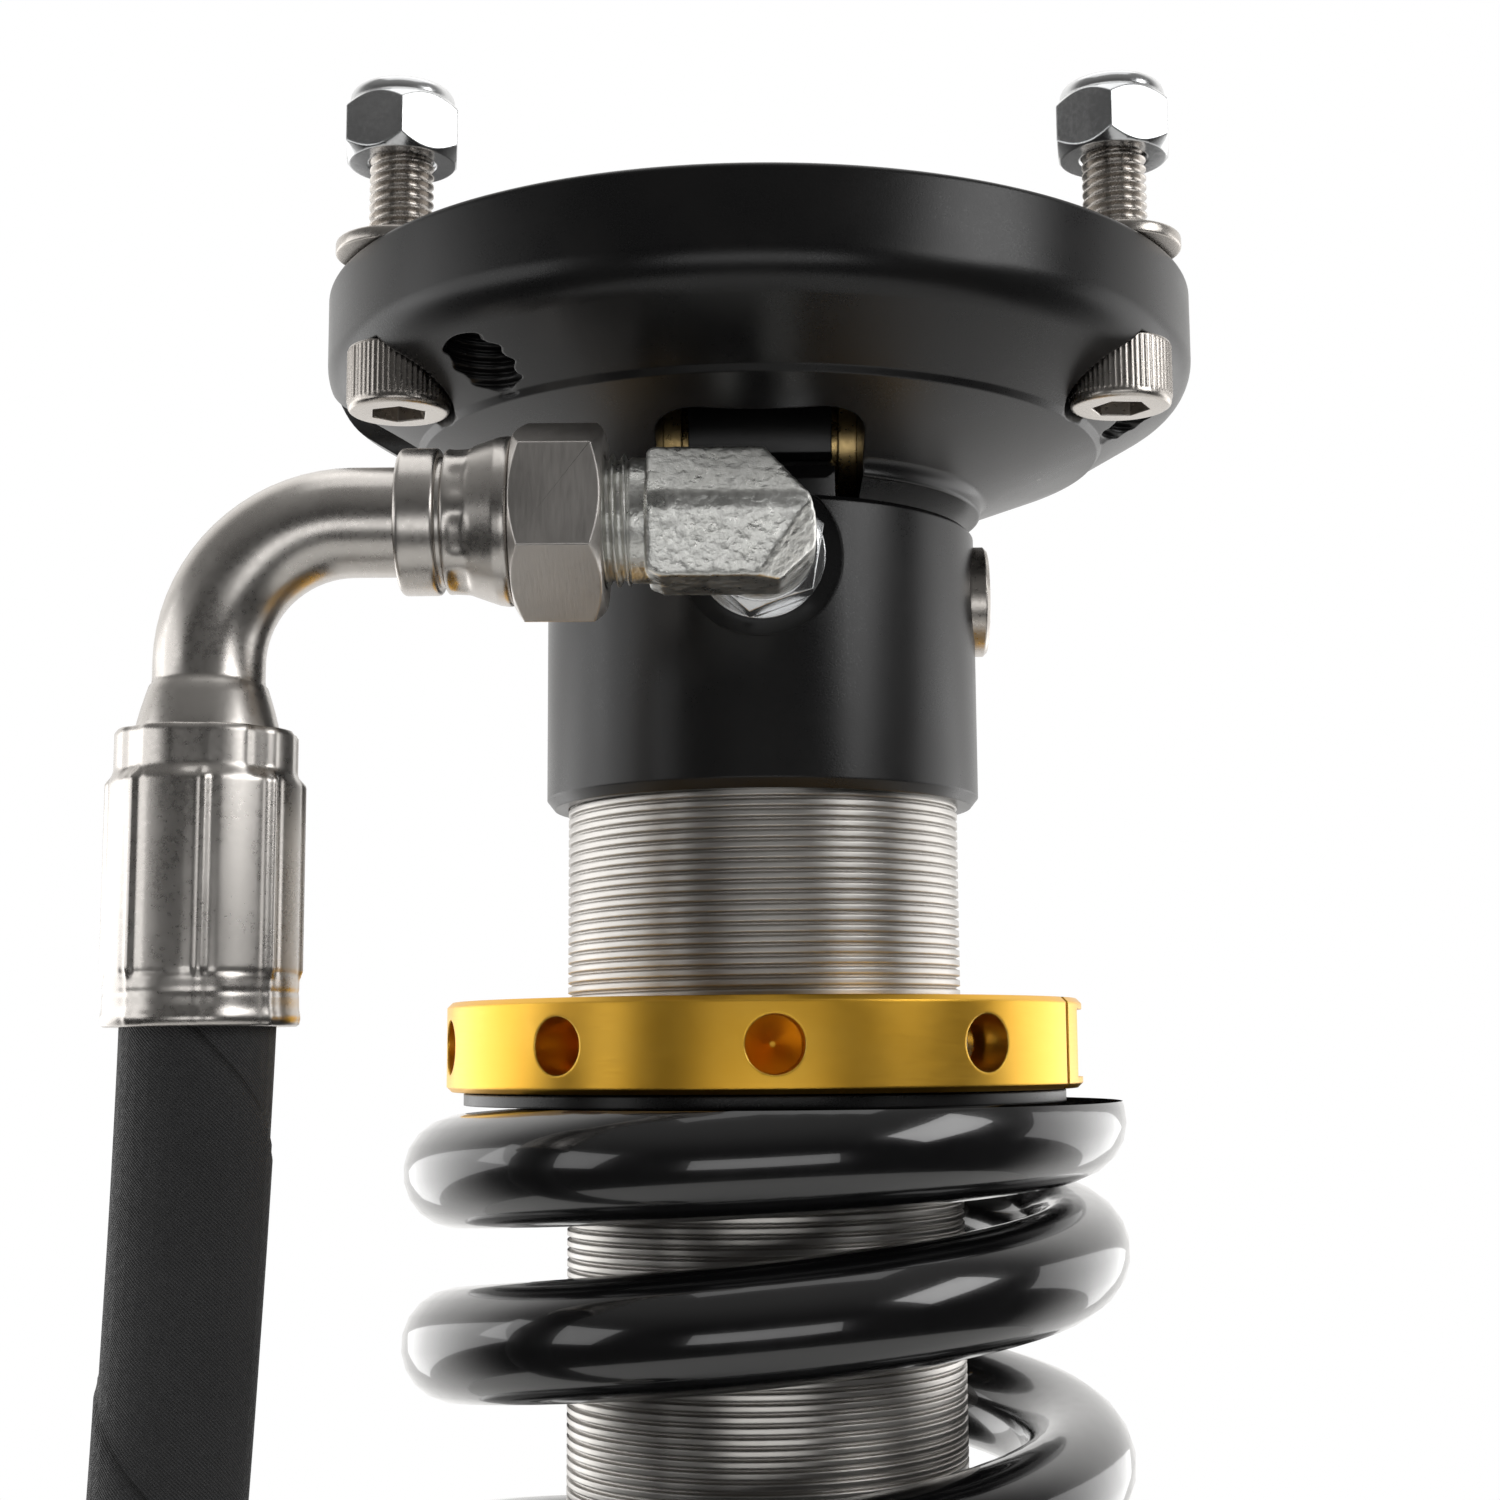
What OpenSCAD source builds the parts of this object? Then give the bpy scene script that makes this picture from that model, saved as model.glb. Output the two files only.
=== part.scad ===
// Coilover damper with remote reservoir. Millimetres. +Z up, X across, -Y front.
// The origin is the centre of the top hat's upper face.

/* [Top hat] */
// outside diameter of the hat
hat_dia = 143; // [110:1:170]
// straight part of the hat's rim
rim_height = 11.5; // [8:0.5:14]
// diameter of the circle the tower bolts stand on
tower_pcd = 128.5; // [120:0.5:130]
// tower bolt thread diameter
tower_bolt = 10; // [8:1:10]
// tower bolt length under the head
tower_bolt_len = 40; // [35:1:55]
// diameter of the circle of spare tapped holes
spare_pcd = 124; // [118:1:126]
// width of the slot for the upper eye
slot_width = 31.5; // [29:0.5:34]
// reach of the slot in front of the centre, and behind it
slot_reach = 47.5; // [44:0.5:49]

/* [Upper eye] */
// depth of the upper ball centre below the hat face
ball_depth = 22; // [21.5:0.1:22.5]
// width of the upper eye
eye_width = 23; // [20:0.5:24]
// outside radius of the upper eye
eye_radius = 17.5; // [17:0.1:18.5]
// upper ball radius
ball_radius = 11.5; // [11:0.1:12]
// cross bolt thread diameter
cross_bolt_dia = 12; // [10:1:12]

/* [Body] */
// body cap diameter
cap_dia = 70.5; // [69:0.5:76]
// bottom of the body cap, below the hat face
cap_bottom = 83.5; // [80:0.5:90]
// threaded body outside diameter
body_dia = 63.5; // [60:0.5:64]
// threaded body bore
body_bore = 57.2; // [54:0.2:58]
// bottom of the body tube, below the hat face
body_bottom = 316; // [300:1:330]
// shaft diameter
shaft_dia = 22.2; // [19:0.1:25]
// running clearance on radius for sliding and turning fits
run_clear = 0.05; // [0.02:0.01:0.09]

/* [Spring and collar] */
// collar outside diameter
collar_dia = 102; // [96:1:110]
// top of the collar, below the hat face
collar_top = 114.7; // [95:0.1:135]
// collar height
collar_height = 14; // [12:0.5:18]
// angle between the collar's spanner holes
hole_pitch = 38; // [36:1:40]
// spring wire diameter
wire_dia = 17.4; // [14:0.2:18]
// spring mean diameter
coil_dia = 98; // [96:0.5:102]
// spring length as fitted
spring_length = 350; // [330:1:370]
// pitch of the open coils
coil_pitch = 34; // [31:0.5:36]

/* [Hose and fittings] */
// distance of the hose plane in front of the body axis
hose_y = 58; // [56:1:64]
// height of the port below the hat face
port_depth = 48; // [46:0.5:50]
// hose outside diameter
hose_dia = 21.2; // [19:0.2:24]
// bent tube outside diameter
tube_dia = 15.6; // [14:0.2:17]
// centre-line radius of the tube bend
bend_radius = 20; // [18:0.5:23]
// swivel nut across flats
nut_af = 25.6; // [24:0.2:27]

/* [Reservoir] */
// reservoir outside diameter
res_dia = 60; // [54:1:64]
// reservoir bore
res_bore = 54; // [48:1:56]
// top of the reservoir, below the hat face
res_top = 384; // [380:1:390]
// reservoir length over both caps
res_length = 158; // [140:1:200]

/* [Lower mount] */
// drop from the spring's lower end to the lower ball centre
eye_drop = 39.2; // [34:0.2:49]
// lower bolt hole diameter
lower_bolt_hole = 14.2; // [12:0.1:14.4]
// width over the lower spacers
lower_width = 38; // [34:1:44]

/* [Hidden] */
$fn = 96;
e = 0.02;
body_r = body_dia / 2;
bore_r = body_bore / 2;
cap_r = cap_dia / 2;
shaft_r = shaft_dia / 2;
hat_r = hat_dia / 2;
bolt_r = tower_bolt / 2;
head_seat = 15;
half_slot = slot_width / 2;
half_eye = eye_width / 2;
cross_r = cross_bolt_dia / 2;
seat_top = collar_top + collar_height + 0.3;
spring_top = seat_top + 1.8;
spring_end = spring_top + spring_length;
lower_eye = spring_end + eye_drop;
shaft_end = lower_eye - 22;
cap_shoulder = 38.5;
hub_bottom = 35.5;
wire_r = wire_dia / 2;
coil_r = coil_dia / 2;
hose_r = hose_dia / 2;
tube_r = tube_dia / 2;
bend_x = -57.7;
leg_x = bend_x - bend_radius;
leg_top = port_depth + bend_radius;
ferrule_end = 118.8;
res_x = -84;
res_y = -60;
res_r = res_dia / 2;
res_in = res_bore / 2;
res_end = res_top + res_length;
tower_angles = [90, 210, 330];
// hose centre line, from inside one ferrule to inside the other
hose_route = [
  [-77.7, -58, -92], [-77.7, -58, -106], [-77.9, -58, -120], [-78.3, -58, -134], [-78.8, -58, -148],
  [-79.4, -58, -162], [-80.0, -58.1, -176], [-80.7, -58.3, -190], [-81.4, -58.5, -206],
  [-82.1, -58.8, -222], [-82.8, -59.1, -238], [-83.3, -59.4, -254], [-83.7, -59.7, -270],
  [-83.9, -59.9, -286], [-84, -60, -302], [-84, -60, -318]
];

black = [0.05, 0.05, 0.055];
steel = [0.72, 0.71, 0.69];
zinc = [0.78, 0.78, 0.74];
gold = [0.86, 0.58, 0.06];
rubber = [0.07, 0.07, 0.07];

module xcyl(r, a, b) { translate([a, 0, 0]) rotate([0, 90, 0]) cylinder(r = r, h = b - a); }
module ycyl(r, a, b) { translate([0, b, 0]) rotate([90, 0, 0]) cylinder(r = r, h = b - a); }
module zcyl(r, a, b) { translate([0, 0, a]) cylinder(r = r, h = b - a); }
module ring(ro, ri, a, b) { difference() { zcyl(ro, a, b); zcyl(ri, a - 1, b + 1); } }
module xring(ro, ri, a, b) { difference() { xcyl(ro, a, b); xcyl(ri, a - 1, b + 1); } }
// hexagon prism with turned end chamfers
module hexbar(af, a, b, c = 1) {
  intersection() {
    translate([0, 0, a]) cylinder(r = af / 2 / cos(30), h = b - a, $fn = 6);
    union() {
      zcyl(af / 2 / cos(30) + 0.1, a + c, b - c);
      translate([0, 0, a]) cylinder(r1 = af / 2 - 0.3, r2 = af / 2 / cos(30) + 0.1, h = c);
      translate([0, 0, b - c]) cylinder(r1 = af / 2 / cos(30) + 0.1, r2 = af / 2 - 0.3, h = c);
    }
  }
}
module hexhole(af, a, b) { translate([0, 0, a]) cylinder(r = af / 2 / cos(30), h = b - a, $fn = 6); }

module top_hat() {
  color(black) difference() {
    rotate_extrude() polygon([
      [0, 0], [hat_r - 0.8, 0], [hat_r, -0.8], [hat_r, -rim_height],
      [hat_r - 0.3, -rim_height - 2.1], [hat_r - 1.2, -rim_height - 4.1],
      [hat_r - 2.7, -rim_height - 5.8], [56.5, -24.6], [55.8, -25.5], [45, -29.8], [40, -31.2],
      [38, -32], [36.9, -33.1], [36.5, -34.2], [36.5, -hub_bottom], [0, -hub_bottom]
    ]);
    // slot for the eye, milled from below with round corners
    translate([0, 0, -60]) linear_extrude(48) union() {
      square([slot_width, 2 * slot_reach - 14], center = true);
      square([slot_width - 14, 2 * slot_reach], center = true);
      for (x = [-1, 1], y = [-1, 1]) translate([x * (half_slot - 7), y * (slot_reach - 7)]) circle(7);
    }
    // round pocket over the eye
    translate([0, 0, -ball_depth]) xcyl(eye_radius + 1.7, -half_slot, half_slot);
    for (a = tower_angles) rotate([0, 0, a]) translate([tower_pcd / 2, 0, 0]) {
      zcyl(bolt_r + 0.4, -60, 5);
      zcyl(8.6, -60, -head_seat);
    }
    for (a = tower_angles) rotate([0, 0, a + 18.5]) translate([spare_pcd / 2, 0, 0]) zcyl(5.1, -60, 5);
    translate([0, 0, -ball_depth]) {
      xcyl(cross_r + 0.1, -80, -5);
      xcyl(9.75, -80, -33);
      xcyl(cross_r, 5, 34);
    }
  }
}
module tower_bolts() {
  color(steel) for (a = tower_angles) rotate([0, 0, a]) translate([tower_pcd / 2, 0, 0]) difference() {
    union() {
      translate([0, 0, -head_seat - 10]) cylinder(r1 = 7.2, r2 = 8, h = 0.8);
      zcyl(8, -head_seat - 9.2, -head_seat);
      zcyl(bolt_r - 0.4, -head_seat - 1, -head_seat + tower_bolt_len - 1);
      zcyl(bolt_r, 2.3, 14.6);
      translate([0, 0, -head_seat + tower_bolt_len - 1]) cylinder(r1 = bolt_r - 0.4, r2 = bolt_r - 1, h = 1);
    }
    hexhole(8, -head_seat - 11, -head_seat - 5);
  }
}
module tower_washers() {
  color(steel) for (a = tower_angles) rotate([0, 0, a]) translate([tower_pcd / 2, 0, 0]) ring(10, 5.25, 0, 2);
}
module tower_nuts() {
  color(zinc) for (a = tower_angles) rotate([0, 0, a])
  translate([tower_pcd / 2, 0, 0]) rotate([0, 0, 12]) difference() {
    union() {
      intersection() {
        hexbar(17, 15, 24.5, 1.4);
        zcyl(9.6, 15, 24.5);
      }
      zcyl(8.2, 24, 25.6);
      translate([0, 0, 25.6]) cylinder(r1 = 8.2, r2 = 6.6, h = 1.4);
    }
    zcyl(bolt_r - 0.38, 14, 28);
  }
}
module cross_bolt() {
  color(steel) translate([0, 0, -ball_depth]) difference() {
    union() {
      xcyl(9, -45, -33);
      xcyl(cross_r - 0.02, -34, 32.5);
    }
    translate([-46, 0, 0]) rotate([0, 90, 0]) cylinder(r = 5.77, h = 7, $fn = 6);
  }
}
module upper_spacers() {
  color(gold) translate([0, 0, -ball_depth]) for (s = [0, 180]) rotate([0, 0, s]) difference() {
    union() {
      xcyl(7.9, 0.3, half_slot);
      xcyl(9.6, 7.65, half_slot);
      xcyl(12, half_slot - 3, half_slot);
    }
    xcyl(cross_r + 0.03, -1, half_slot + 1);
  }
}
module upper_ball() {
  color(steel) translate([0, 0, -ball_depth]) intersection() {
    difference() { sphere(ball_radius); xcyl(7.95, -20, 20); }
    xcyl(20, -7.5, 7.5);
  }
}
module upper_race() {
  color(steel) translate([0, 0, -ball_depth]) difference() {
    xcyl(14, -6.5, 6.5);
    sphere(ball_radius + run_clear);
  }
}
module upper_snap_rings() {
  color(black) translate([0, 0, -ball_depth])
    for (s = [0, 180]) rotate([0, 0, s]) xring(14.7, 12.7, 6.55, 7.75);
}
module body_cap() {
  color(black) difference() {
    union() {
      zcyl(cap_r, -cap_bottom + 1.5, -cap_shoulder - 0.8);
      translate([0, 0, -cap_bottom]) cylinder(r1 = cap_r - 1.2, r2 = cap_r, h = 1.5);
      translate([0, 0, -cap_shoulder - 0.8]) cylinder(r1 = cap_r, r2 = cap_r - 0.8, h = 0.8);
      intersection() {
        translate([-half_eye, 0, 0]) rotate([90, 0, 90]) linear_extrude(eye_width) union() {
          translate([0, -ball_depth]) circle(eye_radius);
          polygon([
            [-34, -39.5], [-34, -36], [-32, -35.4], [-31.2, -33.4], [-26, -31.6], [-17.3, -29], [-15, -24],
            [15, -24], [17.3, -29], [26, -31.6], [31.2, -33.4], [32, -35.4], [34, -36], [34, -39.5]
          ]);
        }
        zcyl(33.6, -60, 0);
      }
    }
    translate([0, 0, -ball_depth]) {
      xcyl(14, -20, 20);
      for (s = [0, 180]) rotate([0, 0, s]) xcyl(14.8, 6.5, 7.8);
    }
    // body tube thread and oil way
    zcyl(body_r, -cap_bottom - 1, -60);
    zcyl(24, -61, -55);
    zcyl(6, -61, -42);
    // front port with its spot face
    translate([0, 0, -port_depth]) {
      ycyl(7.12, -40, -10);
      ycyl(4, -12, 2);
      ycyl(12.5, -40, -32.8);
    }
    // side port
    translate([0, 0, -49]) { xcyl(7, 20, 40); xcyl(9.4, 34, 40); }
  }
}
module side_plug() {
  color(steel) translate([0, 0, -49]) difference() {
    union() {
      xcyl(6.98, 22, 35);
      xcyl(9.1, 34, 36.7);
      translate([36.7, 0, 0]) rotate([0, 90, 0]) cylinder(r1 = 9.1, r2 = 8.5, h = 0.6);
    }
    translate([31, 0, 0]) rotate([0, 90, 0]) cylinder(r = 4 / cos(30), h = 8, $fn = 6);
  }
}
module body_tube() {
  color(steel) difference() {
    zcyl(body_r, -body_bottom, -60);
    zcyl(bore_r, -body_bottom - 1, -59);
    zcyl(bore_r + 1, -body_bottom + 2, -body_bottom + 3.6);
  }
}
module port_elbow() {
  color(zinc) difference() {
    union() {
      intersection() {
        translate([0, -40, -port_depth]) rotate([90, 0, 0]) linear_extrude(36) polygon([
          [-16, 8.9], [-15.2, 9.5], [0.5, 9.5], [6.9, 1.5], [7.8, -1.5], [7.7, -4.6], [2.5, -9.5],
          [-14, -9.5], [-16, -8.5]
        ]);
        translate([-30, -hose_y, -port_depth]) rotate([90, 0, 90]) linear_extrude(45) polygon([
          [-9.9, 1.9], [-9.9, -0.5], [-7.2, -9.5], [7.2, -9.5], [9.8, -0.5], [9.8, 1.9], [5.2, 9.5], [-5.2, 9.5]
        ]);
      }
      translate([0, 0, -port_depth]) {
        ycyl(7.1, -47, -19);
        ycyl(8.2, -51, -42.2);
        translate([0, -hose_y, 0]) {
          xcyl(9.45, -27, -15.6);
          translate([-31, 0, 0]) rotate([0, 90, 0]) cylinder(r1 = 6.2, r2 = 9.2, h = 4);
        }
      }
    }
    translate([0, 0, -port_depth]) {
      ycyl(4, -hose_y, -10);
      translate([0, -hose_y, 0]) xcyl(4.9, -40, 0);
      translate([0, -hose_y, 0]) sphere(4.9);
    }
  }
}
module port_nut() {
  color(zinc) translate([0, 0, -port_depth]) rotate([90, 0, 0]) difference() {
    rotate([0, 0, 20]) hexbar(17.5, 34.8, 41.6, 1.2);
    zcyl(7.12, 30, 50);
  }
}
module port_washer() {
  color(zinc) translate([0, 0, -port_depth]) rotate([90, 0, 0]) ring(9.85, 7.12, 32.8, 34.8);
}
module swivel_nut() {
  color(steel) translate([-21.9, -hose_y, -port_depth]) rotate([0, -90, 0]) difference() {
    rotate([0, 0, 5]) hexbar(nut_af, 0, 12.8, 1.3);
    zcyl(9.47, -1, 10);
    zcyl(9.0, -1, 14);
  }
}
// tube collar, crimped neck and nose shared by both hose stems, pointing along +Z from its own origin
module stem_nose() {
  difference() {
    union() {
      zcyl(8.95, -1, 3.5);
      zcyl(12.2, -2.6, 0);
      translate([0, 0, -9.6]) cylinder(r1 = 10.4, r2 = 12.2, h = 7);
      zcyl(9.4, -11, -9);
      zcyl(10.45, -16.1, -10.2);
    }
    zcyl(6, -20, 8);
  }
}
module hose_elbow() {
  color(steel) {
    translate([-34.75, -hose_y, -port_depth]) rotate([0, 90, 0]) stem_nose();
    translate([bend_x, -hose_y, -port_depth]) difference() {
      xcyl(tube_r, 0, 7);
      xcyl(tube_r - 2, -1, 8);
    }
    translate([bend_x, -hose_y, -leg_top]) rotate([90, 0, 0]) rotate([0, 0, 90]) rotate_extrude(angle = 90)
      translate([bend_radius, 0]) difference() { circle(tube_r); circle(tube_r - 2); }
    translate([leg_x, -hose_y, 0]) difference() {
      union() {
        zcyl(tube_r, -74, -leg_top);
        translate([0, 0, -79]) cylinder(r1 = 10.1, r2 = tube_r, h = 8);
        zcyl(7.2, -114, -78);
      }
      zcyl(tube_r - 2, -115, -leg_top + 1);
    }
  }
}
// crimped hose ferrule, neck at z = 0, mouth at z = -length
module ferrule(length) {
  difference() {
    union() {
      zcyl(12.6, -5.5, 0);
      intersection() {
        rotate([0, 0, 12]) translate([0, 0, -length]) cylinder(r = 13.15 / cos(22.5), h = length - 5, $fn = 8);
        union() {
          zcyl(13.6, -length + 9, -6.5);
          zcyl(13.0, -length, -5);
        }
      }
      ring(13.1, 12, -length, -length + 8);
    }
    zcyl(hose_r + 0.15, -length - 1, -7);
    zcyl(10.35, -8, 1);
  }
}
module upper_ferrule() {
  color(steel) translate([leg_x, -hose_y, -78]) ferrule(ferrule_end - 78);
}
module hose() {
  n = len(hose_route);
  sides = 12;
  function tangent(i) =
    let (a = hose_route[max(i - 1, 0)], b = hose_route[min(i + 1, n - 1)], d = b - a) d / norm(d);
  function ringpts(i) = let (t = tangent(i), u0 = cross([0, 1, 0], t), u = u0 / norm(u0), v = cross(t, u))
    [for (k = [0 : sides - 1]) hose_route[i] + (hose_r + 0.1) * (cos(360 * k / sides) * u + sin(360 * k / sides) * v)];
  pts = concat([for (i = [0 : n - 1]) each ringpts(i)], [hose_route[0], hose_route[n - 1]]);
  sidefaces = [for (i = [0 : n - 2], k = [0 : sides - 1]) let (a = i * sides + k, b = i * sides + (k + 1) % sides)
    each [[a, b, b + sides], [a, b + sides, a + sides]]];
  caps = [for (k = [0 : sides - 1]) each [
    [n * sides, (k + 1) % sides, k],
    [n * sides + 1, (n - 1) * sides + k, (n - 1) * sides + (k + 1) % sides]]];
  color(rubber) difference() {
    polyhedron(pts, concat(sidefaces, caps));
    translate([leg_x, -hose_y, 0]) zcyl(7.25, -115, -90);
    translate([res_x, res_y, 0]) zcyl(7.25, -320, -296);
  }
}
module lower_ferrule() {
  color(steel) translate([res_x, res_y, -332]) mirror([0, 0, 1]) ferrule(40);
}
module hose_stem() {
  color(steel) translate([res_x, res_y, 0]) {
    translate([0, 0, -357.95]) mirror([0, 0, 1]) stem_nose();
    difference() {
      union() {
        zcyl(tube_r, -344, -338);
        translate([0, 0, -339]) cylinder(r1 = tube_r, r2 = 10.1, h = 8);
        zcyl(7.2, -333, -297);
      }
      zcyl(tube_r - 2, -345, -296);
    }
  }
}
module reservoir_nut() {
  color(steel) translate([res_x, res_y, -370.8]) difference() {
    rotate([0, 0, 17]) hexbar(nut_af, 0, 12.8, 1.3);
    zcyl(9.47, -1, 10);
    zcyl(9.0, -1, 14);
  }
}
module reservoir_adapter() {
  color(zinc) translate([res_x, res_y, 0]) difference() {
    union() {
      rotate([0, 0, 8]) hexbar(22, -384, -375, 1);
      zcyl(9.45, -376, -365.8);
      translate([0, 0, -365.8]) cylinder(r1 = 9.2, r2 = 6.2, h = 4);
      zcyl(7.1, -399, -383);
    }
    zcyl(4.9, -400, -360);
  }
}
module reservoir_tube() {
  color(black) translate([res_x, res_y, 0]) difference() {
    zcyl(res_r, -res_end + 4, -res_top - 4);
    zcyl(res_in, -res_end, -res_top);
    zcyl(res_in + 0.8, -res_top - 22.6, -res_top - 21);
    zcyl(res_in + 0.8, -res_end + 21, -res_end + 22.6);
  }
}
module reservoir_top_cap() {
  color(black) translate([res_x, res_y, 0]) difference() {
    union() {
      translate([0, 0, -res_top - 1]) cylinder(r1 = res_r, r2 = res_r - 1, h = 1);
      zcyl(res_r, -res_top - 4, -res_top - 1);
      zcyl(res_in, -res_top - 21, -res_top - 3);
    }
    zcyl(7.12, -399.5, -380);
    zcyl(4, -res_top - 22, -380);
  }
}
module reservoir_end_cap() {
  color(black) translate([res_x, res_y, 0]) difference() {
    union() {
      translate([0, 0, -res_end]) cylinder(r1 = res_r - 1, r2 = res_r, h = 1);
      zcyl(res_r, -res_end + 1, -res_end + 4);
      zcyl(res_in, -res_end + 3, -res_end + 21);
    }
    zcyl(12, -res_end - 1, -res_end + 14);
    zcyl(3.9, -res_end, -res_end + 22);
  }
}
module reservoir_snap_rings() {
  color(steel) translate([res_x, res_y, 0]) {
    ring(res_in + 0.7, res_in - 1.4, -res_top - 22.5, -res_top - 21.05);
    ring(res_in + 0.7, res_in - 1.4, -res_end + 21.05, -res_end + 22.5);
  }
}
module charge_valve() {
  color(gold) translate([res_x, res_y, -res_end]) difference() {
    union() {
      zcyl(3.88, 3, 21);
      hexbar(11, 11, 14, 0.5);
    }
    zcyl(2.2, 2, 10);
    zcyl(1, 2, 22);
  }
}
module valve_cap() {
  color(rubber) translate([res_x, res_y, -res_end]) difference() {
    zcyl(5, 1.5, 9.5);
    zcyl(3.9, 3, 10);
  }
}
module floating_piston() {
  color(gold) translate([res_x, res_y, -res_top]) difference() {
    zcyl(res_in - 0.1, -56, -36);
    zcyl(res_in - 5, -57, -42);
    ring(res_in + 1, res_in - 2.2, -43.6, -39.6);
  }
}
module floating_seal() {
  color(rubber) translate([res_x, res_y, -res_top]) ring(res_in - 0.06, res_in - 2.2, -43.5, -39.7);
}
module seal_head() {
  color(black) difference() {
    zcyl(bore_r, -body_bottom + 4, -body_bottom + 44);
    zcyl(shaft_r + run_clear, -body_bottom, -body_bottom + 50);
    zcyl(15.5, -body_bottom + 3, -body_bottom + 10);
    zcyl(15.5, -body_bottom + 38, -body_bottom + 45);
  }
}
module rod_seal() {
  color(rubber) ring(15.5, shaft_r + run_clear, -body_bottom + 38, -body_bottom + 43.5);
}
module wiper() {
  color(rubber) ring(15.5, shaft_r + run_clear, -body_bottom + 4.2, -body_bottom + 10);
}
module head_snap_ring() {
  color(steel) ring(bore_r + 0.9, bore_r - 3, -body_bottom + 2.05, -body_bottom + 3.55);
}
module seat_ring() {
  color(black) difference() {
    union() {
      zcyl(48.3, -spring_top, -seat_top);
      zcyl(coil_r - wire_r - 0.4, -spring_top - 11, -spring_top + 0.5);
    }
    zcyl(body_r + run_clear + 0.03, -spring_top - 12, -seat_top + 1);
  }
}
module adjuster_collar() {
  mid = -collar_top - collar_height / 2;
  rc = collar_dia / 2;
  color(gold) difference() {
    union() {
      zcyl(rc, -collar_top - collar_height + 0.8, -collar_top - 0.8);
      translate([0, 0, -collar_top - 0.8]) cylinder(r1 = rc, r2 = rc - 0.8, h = 0.8);
      translate([0, 0, -collar_top - collar_height]) cylinder(r1 = rc - 0.8, r2 = rc, h = 0.8);
    }
    zcyl(body_r + run_clear + 0.03, -collar_top - collar_height - 1, -collar_top + 1);
    translate([0, 0, mid]) {
      for (k = [-6 : 1]) rotate([0, 0, -88.3 + hole_pitch * k]) {
        xcyl(4.3, rc - 10, rc + 2);
        translate([rc - 12.2, 0, 0]) rotate([0, 90, 0]) cylinder(r1 = 0.4, r2 = 4.3, h = 2.25);
      }
      rotate([0, 0, -88.3 + hole_pitch]) xcyl(3, body_r - 2, rc);
      rotate([0, 0, -24.5]) {
        translate([body_r - 3, -0.6, -20]) cube([rc, 1.2, 40]);
        translate([43, 0, 0]) { ycyl(3.02, -13, 2); ycyl(3.2, 0, 8); ycyl(5.3, 6.5, 40); }
        translate([43, 6.5, -5.3]) cube([20, 30, 10.6]);
      }
    }
  }
}
module pinch_screw() {
  color(black) translate([0, 0, -collar_top - collar_height / 2])
  rotate([0, 0, -24.5]) translate([43, 0, 0]) difference() {
    union() { ycyl(5, 6.5, 12.5); ycyl(2.98, -12, 7); }
    translate([0, 14, 0]) rotate([90, 0, 0]) cylinder(r = 2.5 / cos(30), h = 4.5, $fn = 6);
  }
}
module set_screw() {
  color(steel) translate([0, 0, -collar_top - collar_height / 2]) rotate([0, 0, -88.3 + hole_pitch]) difference() {
    xcyl(2.98, body_r + 0.6, collar_dia / 2 - 6);
    translate([collar_dia / 2 - 10, 0, 0]) rotate([0, 90, 0]) cylinder(r = 1.5 / cos(30), h = 8, $fn = 6);
  }
}
// the pitch grows over the first end_turns of the spring, which take up end_drop of its height
end_turns = 1.5;
end_drop = 35;
pitch_growth = (coil_pitch * end_turns - end_drop) / end_turns / end_turns;
// height lost by the wire centre after t turns from the top end
function drop(t) = t < end_turns
  ? (coil_pitch - 2 * pitch_growth * end_turns) * t + pitch_growth * t * t
  : end_drop + (t - end_turns) * coil_pitch;
module coil_spring() {
  t0 = -0.15;
  centre_top = -spring_top - 2.7;
  // the last turns mirror the first ones
  open_drop = spring_length - 5.4 - 2 * end_drop;
  turns = 2 * end_turns + open_drop / coil_pitch;
  t1 = turns - t0;
  n = 264;
  sides = 12;
  function height(t) = t <= turns - end_turns ? drop(t) : spring_length - 5.4 - drop(turns - t);
  function at(i) = t0 + (t1 - t0) * i / (n - 1);
  function ringpts(i) = let (t = at(i), a = -360 * t, z = centre_top - height(t))
    [for (k = [0 : sides - 1])
      let (
        turn = 360 * k / sides + 15,
        r = coil_r + wire_r * 1.011 * cos(turn),
        h = z + wire_r * 1.011 * sin(turn)
      ) [r * cos(a), r * sin(a), h]];
  function mid(i) = let (t = at(i), a = -360 * t) [coil_r * cos(a), coil_r * sin(a), centre_top - height(t)];
  pts = concat([for (i = [0 : n - 1]) each ringpts(i)], [mid(0), mid(n - 1)]);
  sidefaces = [for (i = [0 : n - 2], k = [0 : sides - 1]) let (a = i * sides + k, b = i * sides + (k + 1) % sides)
    each [[a, b + sides, b], [a, a + sides, b + sides]]];
  caps = [for (k = [0 : sides - 1]) each [
    [n * sides, k, (k + 1) % sides],
    [n * sides + 1, (n - 1) * sides + (k + 1) % sides, (n - 1) * sides + k]]];
  color(black) intersection() {
    polyhedron(pts, concat(sidefaces, caps));
    translate([-80, -80, -spring_end]) cube([160, 160, spring_length - 0.05]);
  }
}
module shaft() {
  color(steel) difference() {
    union() {
      zcyl(shaft_r, -shaft_end, -body_bottom + 50);
      zcyl(5.98, -body_bottom + 49, -body_bottom + 96);
    }
    zcyl(2.5, -shaft_end + 28, -body_bottom + 97);
  }
}
module piston() {
  color(steel) difference() {
    zcyl(bore_r - 0.15, -body_bottom + 54, -body_bottom + 80);
    ring(bore_r + 1, bore_r - 1.6, -body_bottom + 62, -body_bottom + 72);
    zcyl(6, -body_bottom + 50, -body_bottom + 90);
    for (a = [0 : 60 : 300]) rotate([0, 0, a]) translate([15.5, 0, 0]) zcyl(3, -body_bottom + 50, -body_bottom + 90);
  }
}
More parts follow.
